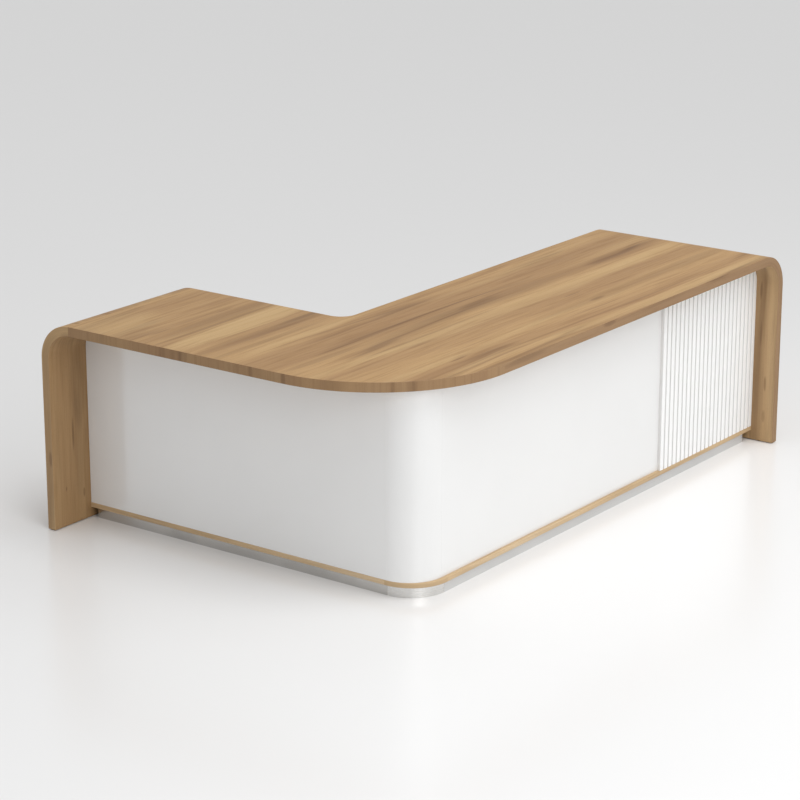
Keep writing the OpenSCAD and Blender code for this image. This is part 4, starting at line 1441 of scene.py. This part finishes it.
@dataclass
class Pedestal:
    """The drawer pedestal: three fronts cut from one board, drawer boxes, runners and the lock."""

    ease: float = 0.0012
    grain_shift: float = 8.3
    drawers: int = 3
    handle: BarHandle = field(default_factory=BarHandle)

    def front(self, node: str) -> Shell:
        """A drawer front: its face carried through its thickness, eased all round."""
        low, high = span(node)
        outline = oblong(low[[0, 2]], high[[0, 2]], self.ease * CORNER_OVER_EASE)
        grain = along_world((2, 0, 1), self.grain_shift)
        return board_of(outline, (0, 2, 1), low[1], high[1], self.ease, grain)

    def build(self) -> None:
        """Makes the fronts and handles, and finishes everything else in the pedestal."""
        coat(Finish.BOARD, *(f"pedestal_{part}" for part in ("sides", "top", "bottom", "back")))
        coat(Finish.STEEL, "runner_cases", "drawer_lock")
        for number in range(1, self.drawers + 1):
            drawer = f"drawer_{number}"
            front = f"{drawer}_front"
            add(self.front(front), f"{drawer}_face", drawer, Finish.WOOD, "wood_front", front)
            self.handle.build(f"{drawer}_handle", drawer, 1, 0)
            coat(Finish.BOX_Y, f"{drawer}_sides", f"{drawer}_bottom")
            coat(Finish.BOX_X, f"{drawer}_ends")
            coat(Finish.STEEL, f"{drawer}_runners", f"runner_{number}_middle")


@dataclass
class Fittings:
    """What holds the boards together and what they stand on."""

    def build(self) -> None:
        """Finishes the dowels, glides, brackets, screws and kick boards."""
        coat(Finish.BOX_Y, "joint_dowels", "cabinet_dowels")
        coat(Finish.BLACK, "leg_glides")
        coat(Finish.STEEL, "angle_brackets", "bracket_screws")
        coat(Finish.BOARD, "kick_boards")


# Studio

class LampKind(Enum):
    """A square panel that shines one way, or far light that is even all over."""

    PANEL = "AREA"
    FAR = "SUN"


@dataclass(frozen=True)
class Lamp:
    """A soft light: its kind, where it stands, what it points at, its power and how wide it is.

    A panel has watts and a side in metres; far light has watts to the square metre and a width in
    degrees.
    """

    name: str
    kind: LampKind
    place: Triple
    target: Triple
    power: float
    width: float

    def light(self) -> None:
        """Puts the light in the scene."""
        data = bpy.data.lights.new(self.name, self.kind.value)
        data.energy = self.power
        if self.kind is LampKind.FAR:
            data.angle = math.radians(self.width)
        else:
            data.shape = "SQUARE"
            data.size = self.width
        made = bpy.data.objects.new(self.name, data)
        made.location = self.place
        way = Vector(self.target) - Vector(self.place)
        made.rotation_euler = way.to_track_quat("-Z", "Y").to_euler()
        bpy.context.scene.collection.objects.link(made)


@dataclass
class Studio:
    """A pale glossy floor, soft lights and the camera, whose angles are in degrees."""

    floor_side: float = 90.0
    floor_colour: Colour = (0.86, 0.86, 0.86)
    floor_roughness: float = 0.22
    floor_mirror: float = 1.6
    sky_colour: Colour = (1.0, 1.0, 1.0)
    sky_strength: float = 0.515
    camera_place: Triple = (-7.564, -5.436, 3.196)
    camera_yaw: float = 36.383
    camera_pitch: float = -17.143
    camera_lens: float = 119.72
    camera_reach: float = 200.0
    lamps: tuple[Lamp, ...] = (
        Lamp("high_light", LampKind.FAR, (0.0, -3.0, 9.5), (0.0, 0.0, 0.0), 1.025, 40.0),
        Lamp("low_light", LampKind.FAR, (-2.5, -9.0, 4.0), (0.0, 0.0, 0.0), 0.26, 40.0),
        Lamp("corner_light", LampKind.PANEL, (-3.5, -4.5, 3.0), (-0.9, -0.6, 0.4), 65.0, 3.0),
        Lamp("right_light", LampKind.PANEL, (2.4, -4.8, 3.0), (0.4, -0.5, 0.4), 8.0, 3.0),
        Lamp("floor_light", LampKind.PANEL, (0.6, -2.8, 3.2), (0.3, -2.2, 0.0), 35.0, 2.5),
    )

    def floor(self) -> None:
        """The floor: one large glossy square."""
        make = Recipe("studio_floor")
        make.surface(
            Base_Color=self.floor_colour, Roughness=self.floor_roughness, IOR=self.floor_mirror
        )
        half = self.floor_side / 2
        mesh = bpy.data.meshes.new("studio_floor")
        corners = [(-half, -half, 0), (half, -half, 0), (half, half, 0), (-half, half, 0)]
        mesh.from_pydata(corners, [], [(0, 1, 2, 3)])
        mesh.materials.append(make.material)
        made = bpy.data.objects.new("studio_floor", mesh)
        bpy.context.scene.collection.objects.link(made)
        made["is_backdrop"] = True

    def sky(self) -> None:
        """Even pale light from all round."""
        world = bpy.data.worlds.new("studio_sky")
        world.use_nodes = True
        background = world.node_tree.nodes["Background"]
        background.inputs["Color"].default_value = (*self.sky_colour, 1.0)
        background.inputs["Strength"].default_value = self.sky_strength
        bpy.context.scene.world = world

    def camera(self) -> None:
        """The camera, turned by its yaw from +X and tipped by its pitch."""
        data = bpy.data.cameras.new("camera")
        data.lens = self.camera_lens
        data.clip_end = self.camera_reach
        made = bpy.data.objects.new("camera", data)
        made.location = self.camera_place
        yaw, pitch = math.radians(self.camera_yaw), math.radians(self.camera_pitch)
        level = math.cos(pitch)
        way = Vector((math.cos(yaw) * level, math.sin(yaw) * level, math.sin(pitch)))
        made.rotation_euler = way.to_track_quat("-Z", "Y").to_euler()
        bpy.context.scene.collection.objects.link(made)
        bpy.context.scene.camera = made

    def build(self) -> None:
        """Sets up the camera, the floor, the sky and the lights."""
        bpy.context.scene.view_settings.view_transform = "Standard"
        self.camera()
        self.floor()
        self.sky()
        for lamp in self.lamps:
            lamp.light()


def write_sizes() -> None:
    boxes = {"cad": CAD_BOX, "visual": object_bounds()}
    plain = {name: [list(corner) for corner in box] for name, box in boxes.items()}


def main() -> None:
    """Builds the studio and every sub-assembly in order, and reports each piece."""
    logging.basicConfig(level=logging.INFO, format="%(name)s: %(message)s", stream=sys.stdout)
    for kind in (
        Studio, Worktop, FrontPanels, SlattedPanel, BaseAndPlinth, Cupboard, Pedestal, Fittings
    ):
        LOG.info("building %s", kind.__name__)
        kind().build()
    write_sizes()


if __name__ == "__main__":
    main()
